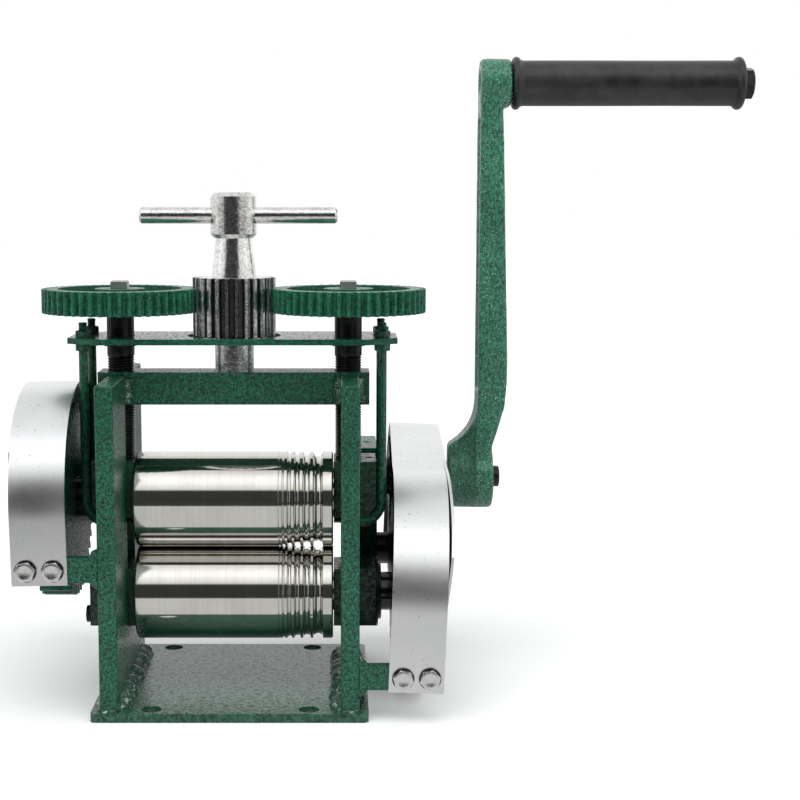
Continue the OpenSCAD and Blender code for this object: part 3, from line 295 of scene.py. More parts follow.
# Top of the adjusting pinion's teeth, and how far from its axis they reach
PINION_TOP = 237.5 * MM
PINION_REACH = 23.8 * MM


def forged_plating():
    """The T-handle's plating, in blotches and specks, and duller on the teeth, with painted shade in the
    gullets between them.
    """
    s = Shader("forged_plating")
    forged = s.noise(620, 3, 0.6, 1.0, s.wobble(900, 0.5 * MM))
    broad = s.noise(150, 3, 0.55, 0.6)
    tint = s.ramp(s.sum(forged, broad, 0.6), (0.62, (0.62, 0.62, 0.6076)), (0.86, (0.92, 0.92, 0.9062)))
    specks = s.ramp(s.noise(1500, 2, 0.5), (0.60, 1.0), (0.72, (0.40, 0.40, 0.39)))
    tint = s.times(tint, specks)
    worn = s.ramp(s.noise(420, 3, 0.6, 0.6), (0.35, (0.50, 0.51, 0.505)), (0.66, (0.98, 0.99, 0.98)))
    # Painted shade: darker between the teeth, by distance from the pinion's axis
    from_axis = s.add("ShaderNodeVectorMath", operation="LENGTH")
    s.put(s.stretch((1 / PINION_REACH, 1 / PINION_REACH, 0.0)), from_axis.inputs[0])
    gullet_painted_shade = s.ramp(from_axis.outputs["Value"], (0.74, 1.0), (0.82, 0.36), (0.90, 0.44), (0.955, 1.0))
    above = s.span(s.axis("Z", s.place), PINION_TOP - 0.6 * MM, PINION_TOP + 0.4 * MM)
    tint = s.mix(above, s.times(worn, gullet_painted_shade), tint)
    roughness = s.ramp(forged, (0.3, 0.10), (0.8, 0.24))
    return s.finish(tint, roughness, s.sum(forged, broad), 0.10 * MM, 1.0)


# How far the dark shank and the thin ring under the head, which is painted shade, reach from the middle of a
# guard bolt's length, as a share of it
SHADE_RING_AND_SHANK_SHARE = 0.206


def bolt_plating():
    """Bright plating on a bolt's head; dark on its shank and on the thin ring under its head, which is
    painted shade round the head.
    """
    s = Shader("bolt_plating")
    forged = s.noise(700, 3, 0.6, 0.8)
    bright = s.ramp(forged, (0.30, (0.62, 0.62, 0.61)), (0.70, (0.96, 0.96, 0.95)))
    # Dark colour of the shank and of the ring under the head; on the ring it is painted shade
    dark = s.ramp(forged, (0.3, 0.05), (0.7, 0.10))
    extent = s.add("ShaderNodeTexCoord").outputs["Generated"]
    shank = s.maths("COMPARE", s.axis("Y", extent), 0.5, SHADE_RING_AND_SHANK_SHARE)
    roughness = s.ramp(forged, (0.3, 0.20), (0.8, 0.42))
    return s.finish(s.mix(shank, bright, dark), roughness, forged, 0.05 * MM, 1.0)


def satin_sheet():
    """Satin aluminium sheet with faint smudges, small dark specks and fine scratches."""
    s = Shader("satin_sheet")
    smudge = s.noise(30, 3, 0.55, 0.6)
    tint = s.ramp(smudge, (0.30, (0.84, 0.85, 0.86)), (0.66, (0.93, 0.935, 0.94)))
    specks = s.ramp(s.noise(520, 3, 0.6, 0.4), (0.635, 1.0), (0.73, (0.36, 0.37, 0.39)))
    scratch = s.noise(1.0, 3, 0.7, 0.0, s.stretch((2600, 160, 160)))
    pits = s.ramp(s.cells(90), (0.0, 0.0), (0.09, 1.0))
    height = s.sum(s.sum(s.noise(700, 2, 0.5), scratch, 0.3), pits, 3.0)
    roughness = s.ramp(s.sum(smudge, scratch, 0.5), (0.5, 0.28), (1.0, 0.38))
    return s.finish(s.mix(0.7, tint, s.times(tint, specks)), roughness, height, 0.012 * MM, 1.0)


def black_oxide():
    """Oiled black oxide on machined steel."""
    s = Shader("black_oxide")
    colour = (0.018, 0.019, 0.019)
    patches = s.noise(240, 3, 0.6, 0.5)
    tint = s.ramp(patches, (0.3, toned(colour, 0.7)), (0.72, toned(colour, 2.4)))
    roughness = s.ramp(patches, (0.3, 0.24), (0.75, 0.42))
    return s.finish(tint, roughness, s.noise(1500, 3, 0.6), 0.02 * MM, 0.75)


def rubber():
    """Moulded black rubber with a fine grain and dusty patches."""
    s = Shader("grip_rubber")
    dust = s.noise(70, 4, 0.62, 0.5)
    grain = s.noise(2200, 2, 0.5)
    colour = s.ramp(dust, (0.35, (0.013, 0.013, 0.0135)), (0.75, (0.036, 0.036, 0.037)))
    roughness = s.ramp(s.sum(dust, grain, 0.3), (0.4, 0.30), (0.9, 0.46))
    return s.finish(colour, roughness, s.sum(grain, s.noise(240, 2, 0.5), 0.8), 0.07 * MM)


def base_paint():
    """The base plate's paint, with a coarse orange peel and small dark flaws."""
    s = Shader("base_paint")
    strokes = s.noise(400, 1.5, 0.5, 1.1)
    fine = s.noise(1300, 2, 0.55, 0.4)
    height = s.sum(strokes, fine, 0.3)
    colour = s.ramp(height, (0.50, (0.006, 0.032, 0.020)), (0.64, (0.015, 0.078, 0.048)),
                    (0.80, (0.034, 0.122, 0.080)))
    film = s.ramp(s.noise(24, 3, 0.6, 0.3), (0.30, (0.85, 0.88, 0.88)), (0.70, (1.2, 1.15, 1.15)))
    flaws = s.ramp(s.noise(130, 4, 0.72, 1.2), (0.655, 1.0), (0.68, (0.08, 0.10, 0.09)))
    roughness = s.ramp(height, (0.52, 0.36), (0.66, 0.22), (0.80, 0.15))
    return s.finish(s.times(s.times(colour, film), flaws), roughness, height, 0.21 * MM)


def weld_paint():
    """Paint over a coarse weld bead, dark in its hollows and pale on its ridges."""
    s = Shader("weld_paint")
    ridges = s.noise(430, 3, 0.6, 1.1)
    colour = s.ramp(ridges, (0.36, (0.006, 0.030, 0.019)), (0.52, (0.022, 0.088, 0.058)),
                    (0.58, (0.040, 0.110, 0.080)), (0.65, (0.40, 0.48, 0.44)))
    return s.finish(colour, s.ramp(ridges, (0.3, 0.14), (0.7, 0.30)), ridges, 0.42 * MM)


# Half of the rolls' ground length, beyond which their shoulders and journals are oiled black
ROLL_HALF = 56.2 * MM

PAINT_MAT = hammered_paint("hammered_paint")
NUT_MAT = hammered_paint("hammered_paint_fine", 0.9 * MM, 0.10 * MM, tone=0.95)
STRAP_MAT = hammered_paint("strap_paint", depth=0.06 * MM, rough=(0.08, 0.16))
# Painted light: the gears get a lighter copy of the green paint with more glints, standing for the brighter
# light on their rims and teeth
GEAR_LIT_MAT = hammered_paint("gear_paint_lit", 0.9 * MM, 0.10 * MM, tone=1.25, specks=0.6)
BLOCK_MAT = hammered_paint("block_paint", 1.2 * MM, 0.05 * MM, tone=0.42, specks=0.08)
ROD_MAT = hammered_paint("rod_paint", 1.3 * MM, 0.05 * MM, tone=0.9, specks=0.15)
ARM_MAT = cast_paint()
BASE_MAT = base_paint()
WELD_MAT = weld_paint()
ROLL_MAT = brushed("ground_roll", (0.74, 0.73, 0.69), (0.05, 0.10), 0.0012 * MM, ROLL_HALF)
SHAFT_MAT = brushed("turned_shaft", (0.46, 0.455, 0.44), (0.16, 0.34))
END_MAT = brushed("bare_steel", (0.74, 0.74, 0.72), (0.34, 0.50))
BRONZE_MAT = brushed("bush_bronze", (0.50, 0.33, 0.13), (0.22, 0.40))
OILED_MAT = brushed("oiled_bronze", (0.10, 0.075, 0.045), (0.30, 0.45))
PLATED_MAT = bolt_plating()
TEE_MAT = forged_plating()
SHEET_MAT = satin_sheet()
BLACK_MAT = black_oxide()
RUBBER_MAT = rubber()

LOOK_OF_SLOT = {
    "green_paint": PAINT_MAT, "black_steel": BLACK_MAT, "steel": SHAFT_MAT, "plated": PLATED_MAT,
    "sheet": SHEET_MAT, "bronze": BRONZE_MAT, "rubber": RUBBER_MAT,
}
# Nodes that look unlike the rest of their slot
LOOK_OF_NODE = {
    "base_plate": BASE_MAT, "upper_roll": ROLL_MAT, "lower_roll": ROLL_MAT,
    "left_screw_gear": GEAR_LIT_MAT, "right_screw_gear": GEAR_LIT_MAT, "upper_roll_gear": GEAR_LIT_MAT,
    "lower_left_block": BLOCK_MAT, "lower_right_block": BLOCK_MAT,
    "upper_left_block": BLOCK_MAT, "upper_right_block": BLOCK_MAT,
    "adjusting_pinion": TEE_MAT, "tee_bar": TEE_MAT, "lift_strap": STRAP_MAT, "upper_roll_bushes": OILED_MAT,
}

# Width of the rounding on each kept node's edges, in millimetres, where it is not the usual one
USUAL_ROUNDING = 0.35
ROUNDING = {
    "base_plate": 0.7, "left_cheek": 0.9, "right_cheek": 0.9, "cross_bar": 1.0, "lift_strap": 0.6,
    "left_housing": 0.9, "right_housing": 0.9, "left_guard": 0.28, "right_guard": 0.28,
    "left_guard_brackets": 0.9, "right_guard_brackets": 0.9, "left_screw_gear": 0.32,
    "right_screw_gear": 0.32, "adjusting_pinion": 0.42, "upper_left_block": 0.8, "upper_right_block": 0.8,
    "lower_left_block": 0.8, "lower_right_block": 0.8, "tee_bar": 0.3, "upper_roll": 0.12, "lower_roll": 0.12,
}


def modify(thing, kind, **values):
    modifier = thing.modifiers.new(kind.lower(), kind)
    for key, value in values.items():
        setattr(modifier, key, value)


def dress_node(name):
    """Gives a kept CAD node its material, and rounds its edges with modifiers."""
    thing = NODES[name]
    thing.data.materials.clear()
    thing.data.materials.append(LOOK_OF_NODE.get(name, LOOK_OF_SLOT[SLOT_OF[name]]))
    for face in thing.data.polygons:
        face.material_index = 0
        face.use_smooth = True
    modify(thing, "WELD", merge_threshold=0.002 * MM)
    modify(thing, "DECIMATE", decimate_type="DISSOLVE", angle_limit=math.radians(0.4))
    modify(thing, "BEVEL", width=ROUNDING.get(name, USUAL_ROUNDING) * MM, segments=2,
           limit_method="ANGLE", angle_limit=math.radians(28), use_clamp_overlap=True)
    modify(thing, "WEIGHTED_NORMAL", mode="FACE_AREA", weight=60)


def new_piece(name, tool, material, body, node, sharp=35):
    """Turns a bmesh into a piece in place of a CAD node. Edges over sharp degrees stay sharp, none at 0."""
    mesh = bpy.data.meshes.new(name)
    bmesh.ops.recalc_face_normals(tool, faces=tool.faces)
    tool.to_mesh(mesh)
    tool.free()
    piece = bpy.data.objects.new(name, mesh)
    bpy.context.scene.collection.objects.link(piece)
    mesh.materials.append(material)
    mesh.shade_smooth()
    if sharp:
        mesh.set_sharp_from_angle(angle=math.radians(sharp))
    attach(piece, body)
    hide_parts(node)


def angles(steps):
    return [TAU * i / steps for i in range(steps)]


def band(tool, a, b):
    """Quads between two rings of vertices."""
    for i in range(len(a)):
        j = (i + 1) % len(a)
        tool.faces.new((a[i], a[j], b[j], b[i]))


def skin(tool, rings, caps=True):
    """Quads between successive rings of points, with the ends filled."""
    rows = [[tool.verts.new(p) for p in ring] for ring in rings]
    for a, b in zip(rows, rows[1:]):
        band(tool, a, b)
    if caps:
        tool.faces.new(rows[0][::-1])
        tool.faces.new(rows[-1])
    return rows


def lathe(tool, origin, axis, profile, steps=48):
    """Turns (place along the axis, radius) pairs about an axis, with filled ends."""
    axis = Vector(axis).normalized()
    side = axis.orthogonal().normalized()
    other = axis.cross(side)
    rings = []
    for along, radius in profile:
        centre = Vector(origin) + axis * along
        rings.append([centre + (side * math.cos(t) + other * math.sin(t)) * radius for t in angles(steps)])
    skin(tool, rings)


# Hexagons: the round crown that the chamfer leaves, and the shallow dish in a bolt's head, as shares of
# half the width across flats
HEXAGON_STEPS = 72
CROWN = 0.94
CHAMFER_SLOPE = math.tan(math.radians(28))
DISH_RIM, DISH_FLOOR, DISH_DEEP = 0.62, 0.52, 0.05


def hexagon(tool, origin, axis, across, height, turn=0.0, bore=0.0):
    """A chamfered hexagon that stands on origin along axis: a bolt's head, or a nut where it has a bore."""
    axis = Vector(axis).normalized()
    side = Matrix.Rotation(turn, 3, axis) @ axis.orthogonal().normalized()
    other = axis.cross(side)
    half = across / 2
    crown = CROWN * half

    def flats(t):
        return half / math.cos((t % (TAU / 6)) - TAU / 12)

    def drop(r):
        return (r - crown) * CHAMFER_SLOPE

    def ring(radius_of, height_of):
        points = []
        for t in angles(HEXAGON_STEPS):
            r = radius_of(t)
            spoke = (side * math.cos(t) + other * math.sin(t)) * r
            points.append(Vector(origin) + spoke + axis * height_of(r))
        return points

    def circle(radius, level):
        return ring(lambda t: radius, lambda r: level)

    top = [ring(flats, lambda r: height - drop(r)), circle(crown, height)]
    if bore:
        foot = [circle(bore / 2, 0.0), circle(crown, 0.0), ring(flats, drop)]
        rows = skin(tool, foot + top + [circle(bore / 2, height)], caps=False)
        band(tool, rows[-1], rows[0])
    else:
        dish = [circle(DISH_RIM * half, height), circle(DISH_FLOOR * half, height - DISH_DEEP * half)]
        skin(tool, [ring(flats, lambda r: 0.0)] + top + dish)


# Threads: rings to a turn, how steep a groove's flanks are, and its share of depth where it starts and ends
RINGS_PER_TURN = 6
FLANK = 1.35
THREAD_START, THREAD_END = 0.35, 0.001


def threaded_rings(origin, radius, depth, pitch, z0, z1, fade_turns=0.8, steps=36):
    """Rings of a rod along Z whose radius follows a helix, so that the thread is a true one."""
    rings = []
    count = max(2, int((z1 - z0) / pitch * RINGS_PER_TURN))
    fade_len = fade_turns * pitch
    for k in range(count + 1):
        z = z0 + (z1 - z0) * k / count
        fade = min(1.0, (z1 - z) / fade_len + THREAD_END, (z - z0) / fade_len + THREAD_START)
        ring = []
        for i, t in enumerate(angles(steps)):
            phase = (z / pitch - i / steps) % 1.0
            groove = depth * min(1.0, FLANK * (1 - abs(2 * phase - 1)))
            r = radius - groove * fade
            ring.append(Vector((origin[0] + r * math.cos(t), origin[1] + r * math.sin(t), z)))
        rings.append(ring)
    return rings


def circle_ring(centre, radius, steps=36, mirror=1):
    """A level circle, taken the other way round where mirror is -1."""
    return [Vector((centre[0] + mirror * radius * math.cos(t), centre[1] + radius * math.sin(t), centre[2]))
            for t in angles(steps)]


# Pressure screws, with a true thread below the collar, a smooth shank above it and a slotted square end
SCREW_PITCH = 1.5 * MM
THREAD_DEEP = 0.75 * MM
THREAD_TOP = 193.7 * MM
THREAD_RUN_OUT = 0.3 * MM
TIP_TAPER = 1.6 * MM
TIP_LEN = 0.8 * MM
SHANK_CHAMFER = 0.5 * MM
SQUARE_H = 4.6 * MM
SQUARE_W = 9.4 * MM
SQUARE_CHAMFER = 0.7 * MM
SQUARE_SINK = 0.2 * MM
SLOT_W = 1.6 * MM
SLOT_DEEP = 1.6 * MM


def pressure_screw(side):
    name = side + "_screw"
    a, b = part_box(name)
    centre = middle(name)
    radius = (b.x - a.x) / 2
    top = b.z - SQUARE_H
    rings = [circle_ring((centre.x, centre.y, a.z), radius - TIP_TAPER)]
    rings += threaded_rings(centre, radius, THREAD_DEEP, SCREW_PITCH, a.z + TIP_LEN, THREAD_TOP)
    for z, r in ((THREAD_TOP + THREAD_RUN_OUT, radius), (top - SHANK_CHAMFER, radius),
                 (top, radius - SHANK_CHAMFER)):
        rings.append(circle_ring((centre.x, centre.y, z), r))
    tool = bmesh.new()
    skin(tool, rings)
    new_piece(name + "_cut", tool, BLACK_MAT, side + "_screw_set", name)

    tool = bmesh.new()
    half, gap = SQUARE_W / 2, SLOT_W / 2
    for sign in (-1, 1):
        outline = [(-half, sign * gap), (half, sign * gap), (half, sign * half), (-half, sign * half)]
        rings = []
        for z, cut in ((top - SQUARE_SINK, 0.0), (b.z - SQUARE_CHAMFER, 0.0), (b.z, SQUARE_CHAMFER)):
            rings.append([Vector((centre.x + x - math.copysign(cut, x),
                                  centre.y + y - (math.copysign(cut, sign) if abs(y) == half else 0.0), z))
                          for x, y in outline])
        skin(tool, rings)
    slot_floor = [(-half, -gap), (half, -gap), (half, gap), (-half, gap)]
    skin(tool, [[Vector((centre.x + x, centre.y + y, z)) for x, y in slot_floor]
                for z in (top - SQUARE_SINK, b.z - SLOT_DEEP)])
    new_piece(name + "_end", tool, END_MAT, side + "_screw_set", name)


# Hook rods, with a bent foot and a threaded upper end
ROD_R = 2.5 * MM
ROD_STEPS = 24
ROD_BEND_R = 12.5 * MM
ROD_BEND_RINGS = 16
ROD_FOOT_TAPER = 0.86
ROD_TOP_TAPER = 0.75
ROD_THREAD_LEN = 15 * MM
ROD_THREAD_DEEP = 0.42 * MM
ROD_THREAD_END = 0.5 * MM
ROD_PITCH = 0.8 * MM
ROD_RING_GAP = 0.4 * MM


def hook_rod(number, sx, sy):
    a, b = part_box("hook_rods")
    x = sx * (b.x - ROD_R)
    y = sy * (b.y - ROD_R)
    foot = a.z + ROD_R
    base = foot + ROD_BEND_R
    start = b.z - ROD_THREAD_LEN
    rear = Vector((0, 1, 0))
    rings = []
    for k in range(ROD_BEND_RINGS + 1):
        t = math.radians(90 * k / ROD_BEND_RINGS)
        centre = Vector((x - sx * ROD_BEND_R * (1 - math.sin(t)), y, foot + ROD_BEND_R * (1 - math.cos(t))))
        out = Vector((sx * math.sin(t), 0, -math.cos(t)))
        r = ROD_R * (ROD_FOOT_TAPER if k == 0 else 1.0)
        rings.append([centre + (out * math.cos(u) + rear * math.sin(u)) * r for u in angles(ROD_STEPS)])
    for z in (base + ROD_RING_GAP, (base + start) / 2, start):
        rings.append(circle_ring((x, y, z), ROD_R, ROD_STEPS, sx))
    for ring in threaded_rings((0, 0), ROD_R, ROD_THREAD_DEEP, ROD_PITCH, start + ROD_RING_GAP / 2,
                               b.z - ROD_THREAD_END, 1, ROD_STEPS):
        rings.append([Vector((x + sx * p.x, y + p.y, p.z)) for p in ring])
    rings.append(circle_ring((x, y, b.z), ROD_TOP_TAPER * ROD_R, ROD_STEPS, sx))
    tool = bmesh.new()
    skin(tool, rings)
    new_piece(f"hook_rod_{number}", tool, ROD_MAT, "carriage", "hook_rods")


# Nuts above and below the strap, each turned a little from square
NUT_ACROSS = 8 * MM
NUT_H = 4 * MM
NUT_TURN = 0.05


def rod_nuts():
    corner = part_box("hook_rods")[1]
    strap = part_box("lift_strap")
    random.seed(4)
    number = 0
    for sx in (-1, 1):
        for sy in (-1, 1):
            for z in (strap[0].z - NUT_H, strap[1].z):
                number += 1
                place = (sx * (corner.x - ROD_R), sy * (corner.y - ROD_R), z)
                turn = random.uniform(-NUT_TURN, NUT_TURN)
                tool = bmesh.new()
                hexagon(tool, place, (0, 0, 1), NUT_ACROSS, NUT_H, turn, 2 * ROD_R)
                new_piece(f"rod_nut_{number}", tool, NUT_MAT, "carriage", "rod_nuts")


# Middle height, half height and thickness of the front brackets of the guards, left (-1) and right (1)
BRACKET_Z = {-1: 83.4 * MM, 1: 24.1 * MM}
BRACKET_HALF = 6.8 * MM
BRACKET_T = 6 * MM

# Guard bolts, two to a bracket, with a chamfered head on a thin dark ring that is painted shade round the
# head
GUARD_BOLT_X = 101.3 * MM
GUARD_BOLT_PITCH = 14.5 * MM
RIGHT_REAR_Z = 56.0039 * MM
BOLT_ACROSS = 10 * MM
BOLT_HEAD = 4 * MM
BOLT_R = 3 * MM
BOLT_REACH = 7.5 * MM
BOLT_SINK = 0.1 * MM
SHADE_RING_R = 6.05 * MM
SHADE_RING_T = 0.5 * MM


def guard_bolts():
    a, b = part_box("guard_bolts")
    pairs = [(-1, BRACKET_Z[-1], -1), (-1, BRACKET_Z[-1], 1), (1, BRACKET_Z[1], -1), (1, RIGHT_REAR_Z, 1)]
    random.seed(9)
    number = 0
    for side, z, out in pairs:
        for shift in (-GUARD_BOLT_PITCH / 2, GUARD_BOLT_PITCH / 2):
            number += 1
            face = (a.y + BOLT_HEAD) if out < 0 else (b.y - BOLT_HEAD)
            place = (side * GUARD_BOLT_X + shift, face, z)
            tool = bmesh.new()
            hexagon(tool, place, (0, out, 0), BOLT_ACROSS, BOLT_HEAD, random.uniform(0, 1.0))
            # The thin dark ring under the head: painted shade round the head
            lathe(tool, place, (0, out, 0), ((-BOLT_SINK, SHADE_RING_R), (SHADE_RING_T, SHADE_RING_R)))
            lathe(tool, place, (0, -out, 0), ((-BOLT_SINK, BOLT_R), (BOLT_REACH, BOLT_R)), 24)
            new_piece(f"guard_bolt_{number}", tool, PLATED_MAT, "frame", "guard_bolts")


# Weld beads: the step between rings, the length of one ripple, how deep the bead sits in both faces, how
# much its size varies by chance and by ripple, and the share of its size at its ends
BEAD_STEP = 0.7 * MM
BEAD_LAP = 2.3 * MM
BEAD_SINK = 0.4 * MM
BEAD_SIDES = 8
BEAD_MEAN = 0.80
BEAD_CHANCE = 0.32
BEAD_RIPPLE = 0.08
BEAD_END, BEAD_END_RISE = 0.35, 8
BEAD_BULGE = 0.63


def bead(tool, start, end, out_a, out_b, leg, seed):
    """A rippled weld bead in the corner between two faces whose outward normals are out_a and out_b."""
    start, end, out_a, out_b = map(Vector, (start, end, out_a, out_b))
    length = (end - start).length
    count = max(8, int(length / BEAD_STEP))
    rings = []
    for k in range(count + 1):
        share = k / count
        place = start.lerp(end, share)
        along = share * length
        rough = noise.noise(Vector((along * 130, seed * 7.3, 0)))
        ripple = abs(math.sin(math.pi * along / BEAD_LAP + 1.2 * rough))
        size = leg * (BEAD_MEAN + BEAD_CHANCE * rough + BEAD_RIPPLE * ripple)
        size *= min(1.0, BEAD_END + BEAD_END_RISE * share, BEAD_END + BEAD_END_RISE * (1 - share))
        ring = [place - (out_a + out_b) * BEAD_SINK, place + out_a * size - out_b * BEAD_SINK]
        for i in range(BEAD_SIDES + 1):
            t = math.radians(90 * i / BEAD_SIDES)
            swell = 0.66 + 0.12 * ripple + 0.08 * noise.noise(Vector((along * 260, t * 3, seed)))
            bulge = math.sin(2 * t) * (swell - 0.5) * BEAD_BULGE
            ca, cb = math.cos(t), math.sin(t)
            norm = 1 / (ca + cb)
            ring.append(place + out_a * size * (ca * norm + bulge) + out_b * size * (cb * norm + bulge))
        ring.append(place + out_b * size - out_a * BEAD_SINK)
        rings.append(ring)
    skin(tool, rings)


# Legs of the beads: inside, outside and in front of a cheek's foot, at the cross bar and at the brackets
INNER_LEG = 6.8 * MM
OUTER_LEG = 3.8 * MM
FRONT_LEG = 2.1 * MM
BAR_LEG = 5 * MM
BRACKET_LEG = 5.2 * MM
# How far the beads stop short of the corners that they run to
FOOT_SHORT = 0.6 * MM
BAR_SHORT = 0.5 * MM
SHORT = 0.3 * MM


def welds():
    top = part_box("base_plate")[1].z
    bar_a, bar_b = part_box("cross_bar")
    up = (0, 0, 1)
    number = 0
    for side, node in ((-1, "left_cheek"), (1, "right_cheek")):
        a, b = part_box(node)
        inner, outer = (b.x, a.x) if side < 0 else (a.x, b.x)
        faces = ((inner, -side, INNER_LEG), (outer, side, OUTER_LEG))
        lines = [((x, a.y + FOOT_SHORT, top), (x, b.y - FOOT_SHORT, top), (out, 0, 0), up, leg)
                 for x, out, leg in faces]
        lines.append(((a.x + SHORT, a.y, top), (b.x - SHORT, a.y, top), (0, -1, 0), up, FRONT_LEG))
        for x, out, _ in faces:
            for end, y in ((-1, bar_a.y), (1, bar_b.y)):
                lines.append(((x, y, bar_a.z + BAR_SHORT), (x, y, b.z - BAR_SHORT),
                              (out, 0, 0), (0, end, 0), BAR_LEG))
        for end in (-1, 1):
            z = BRACKET_Z[side] + end * BRACKET_HALF
            lines.append(((outer, a.y + SHORT, z), (outer, a.y + BRACKET_T - SHORT, z),
                          (side, 0, 0), (0, 0, end), BRACKET_LEG))
        for line in lines:
            number += 1
            tool = bmesh.new()
            bead(tool, *line, number)
            new_piece(f"weld_bead_{number}", tool, WELD_MAT, "frame", "frame_welds", 50)


# Rubber grip, turned with soft beads at both ends, and faint waves along its body
GRIP_R = 13.5 * MM
GRIP_BORE_R = 5.3 * MM
GRIP_BEAD = 5 * MM
GRIP_BEAD_POINTS = 8
GRIP_BEAD_TURN = 0.86
GRIP_FACE_DROP = 3.2 * MM
GRIP_DISH = 1.2 * MM
GRIP_NECK = 2 * MM
GRIP_WAVE = 0.004
GRIP_BODY_PARTS = 12


def grip():
    a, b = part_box("grip")
    c = middle("grip")
    length = b.x - a.x
    bead_r = (b.z - a.z) / 2
    half = GRIP_BEAD / 2
    end = [(GRIP_DISH, GRIP_BORE_R), (0.2 * MM, GRIP_BORE_R + GRIP_DISH / 2), (0.0, bead_r - GRIP_FACE_DROP)]
    for k in range(GRIP_BEAD_POINTS + 1):
        t = math.radians(180 - 180 * k / GRIP_BEAD_POINTS * GRIP_BEAD_TURN)
        end.append((half + half * math.cos(t), bead_r - half + half * math.sin(t)))
    start = GRIP_BEAD + GRIP_NECK
    end += [(GRIP_BEAD + 0.6 * MM, GRIP_R + 0.25 * MM), (start, GRIP_R)]
    profile = list(end)
    for k in range(1, GRIP_BODY_PARTS):
        share = k / GRIP_BODY_PARTS
        profile.append((start + (length - 2 * start) * share, GRIP_R * (1 + GRIP_WAVE * math.sin(7 * share))))
    profile += [(length - p, r) for p, r in reversed(end)]
    tool = bmesh.new()
    lathe(tool, (a.x, c.y, c.z), (1, 0, 0), profile, 64)
    new_piece("rubber_grip", tool, RUBBER_MAT, "grip", "grip", 50)


# The grip's spindle, with a rounded end and a hexagon head on a washer face
SPINDLE_R = 5 * MM
SPINDLE_CHAMFER = 0.8 * MM
SPINDLE_HEAD = 6 * MM
SPINDLE_ACROSS = 17 * MM
SPINDLE_TURN = 0.5
FACE_R = 9.6 * MM
FACE_T = 1.2 * MM
# How far a shank reaches into its head
SHANK_SINK = 0.1 * MM


def spindle():
    a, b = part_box("grip_spindle")
    c = middle("grip_spindle")
    head = b.x - SPINDLE_HEAD
    axis = (1, 0, 0)
    shank = ((0, SPINDLE_R - SPINDLE_CHAMFER), (SPINDLE_CHAMFER, SPINDLE_R),
             (head - a.x + SHANK_SINK, SPINDLE_R))
    face = ((0, FACE_R), (FACE_T, FACE_R), (FACE_T + 0.3 * MM, FACE_R - 0.4 * MM))
    tool = bmesh.new()
    lathe(tool, (a.x, c.y, c.z), axis, shank, 40)
    lathe(tool, (head, c.y, c.z), axis, face)
    hexagon(tool, (head + FACE_T, c.y, c.z), axis, SPINDLE_ACROSS, SPINDLE_HEAD - FACE_T, SPINDLE_TURN)
    new_piece("spindle_bolt", tool, BLACK_MAT, "crank", "grip_spindle")


# The crank's round-headed bolt, with a socket in its head
SOCKET_BOLT_R = 4 * MM
SOCKET_HEAD = 4.6 * MM
SOCKET_HEAD_ROUND = 0.5 * MM
SOCKET_R = 3.5 * MM
SOCKET_DEEP = 2.4 * MM


def crank_bolt():
    a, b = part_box("crank_bolt")
    c = middle("crank_bolt")
    r = (b.z - a.z) / 2
    shank = ((0, SOCKET_BOLT_R - 0.4 * MM), (b.x - a.x - SOCKET_HEAD + SHANK_SINK, SOCKET_BOLT_R))
    head = ((0, r - SOCKET_HEAD_ROUND), (SOCKET_HEAD_ROUND, r), (SOCKET_HEAD - 0.8 * MM, r),
            (SOCKET_HEAD - 0.2 * MM, r - SOCKET_HEAD_ROUND), (SOCKET_HEAD, r - 1.2 * MM),
            (SOCKET_HEAD, SOCKET_R), (SOCKET_HEAD - SOCKET_DEEP, SOCKET_R - 0.1 * MM))
    tool = bmesh.new()
    lathe(tool, (a.x, c.y, c.z), (1, 0, 0), shank, 32)
    lathe(tool, (b.x - SOCKET_HEAD, c.y, c.z), (1, 0, 0), head)
    new_piece("crank_bolt_turned", tool, BLACK_MAT, "crank", "crank_bolt")


def ease(t):
    t = min(1.0, max(0.0, t))
    return t * t * (3 - 2 * t)


# Share of the way to its neighbours' mean that a vertex moves in one round
SOFTEN_SHARE = 0.6


def soften(tool, chosen, rounds):
    """Relaxes the chosen vertices towards their neighbours, which rounds edges and fillets corners."""
    verts = [v for v in tool.verts if chosen(v.co)]
    for _ in range(rounds):
        places = [sum((e.other_vert(v).co for e in v.link_edges), Vector()) / len(v.link_edges)
                  for v in verts]
        for v, place in zip(verts, places):
            v.co = v.co.lerp(place, SOFTEN_SHARE)


# Cast crank arm: the size of its remesh, the height of the foot and of the boss that are softened more,
# how far the foot is waisted left of the ridge and filled out right of it, and the depth of its grain
ARM_VOXEL = 0.9 * MM
ARM_ROUNDS = 16
FOOT_RISE = 42 * MM
FOOT_FADE = 22 * MM
BOSS_REACH = 22 * MM
RIDGE_STEP, RIDGE_STEP_W = 0.07, 1.2 * MM
FOOT_WAIST, FOOT_WAIST_W = 0.26, 13 * MM
FOOT_FULL, FOOT_FULL_TOP = 0.08, 2.2 * FOOT_FADE
ARM_GRAIN, ARM_GRAIN_SCALE = 0.10 * MM, 90
ARM_INSET = 0.12 * MM


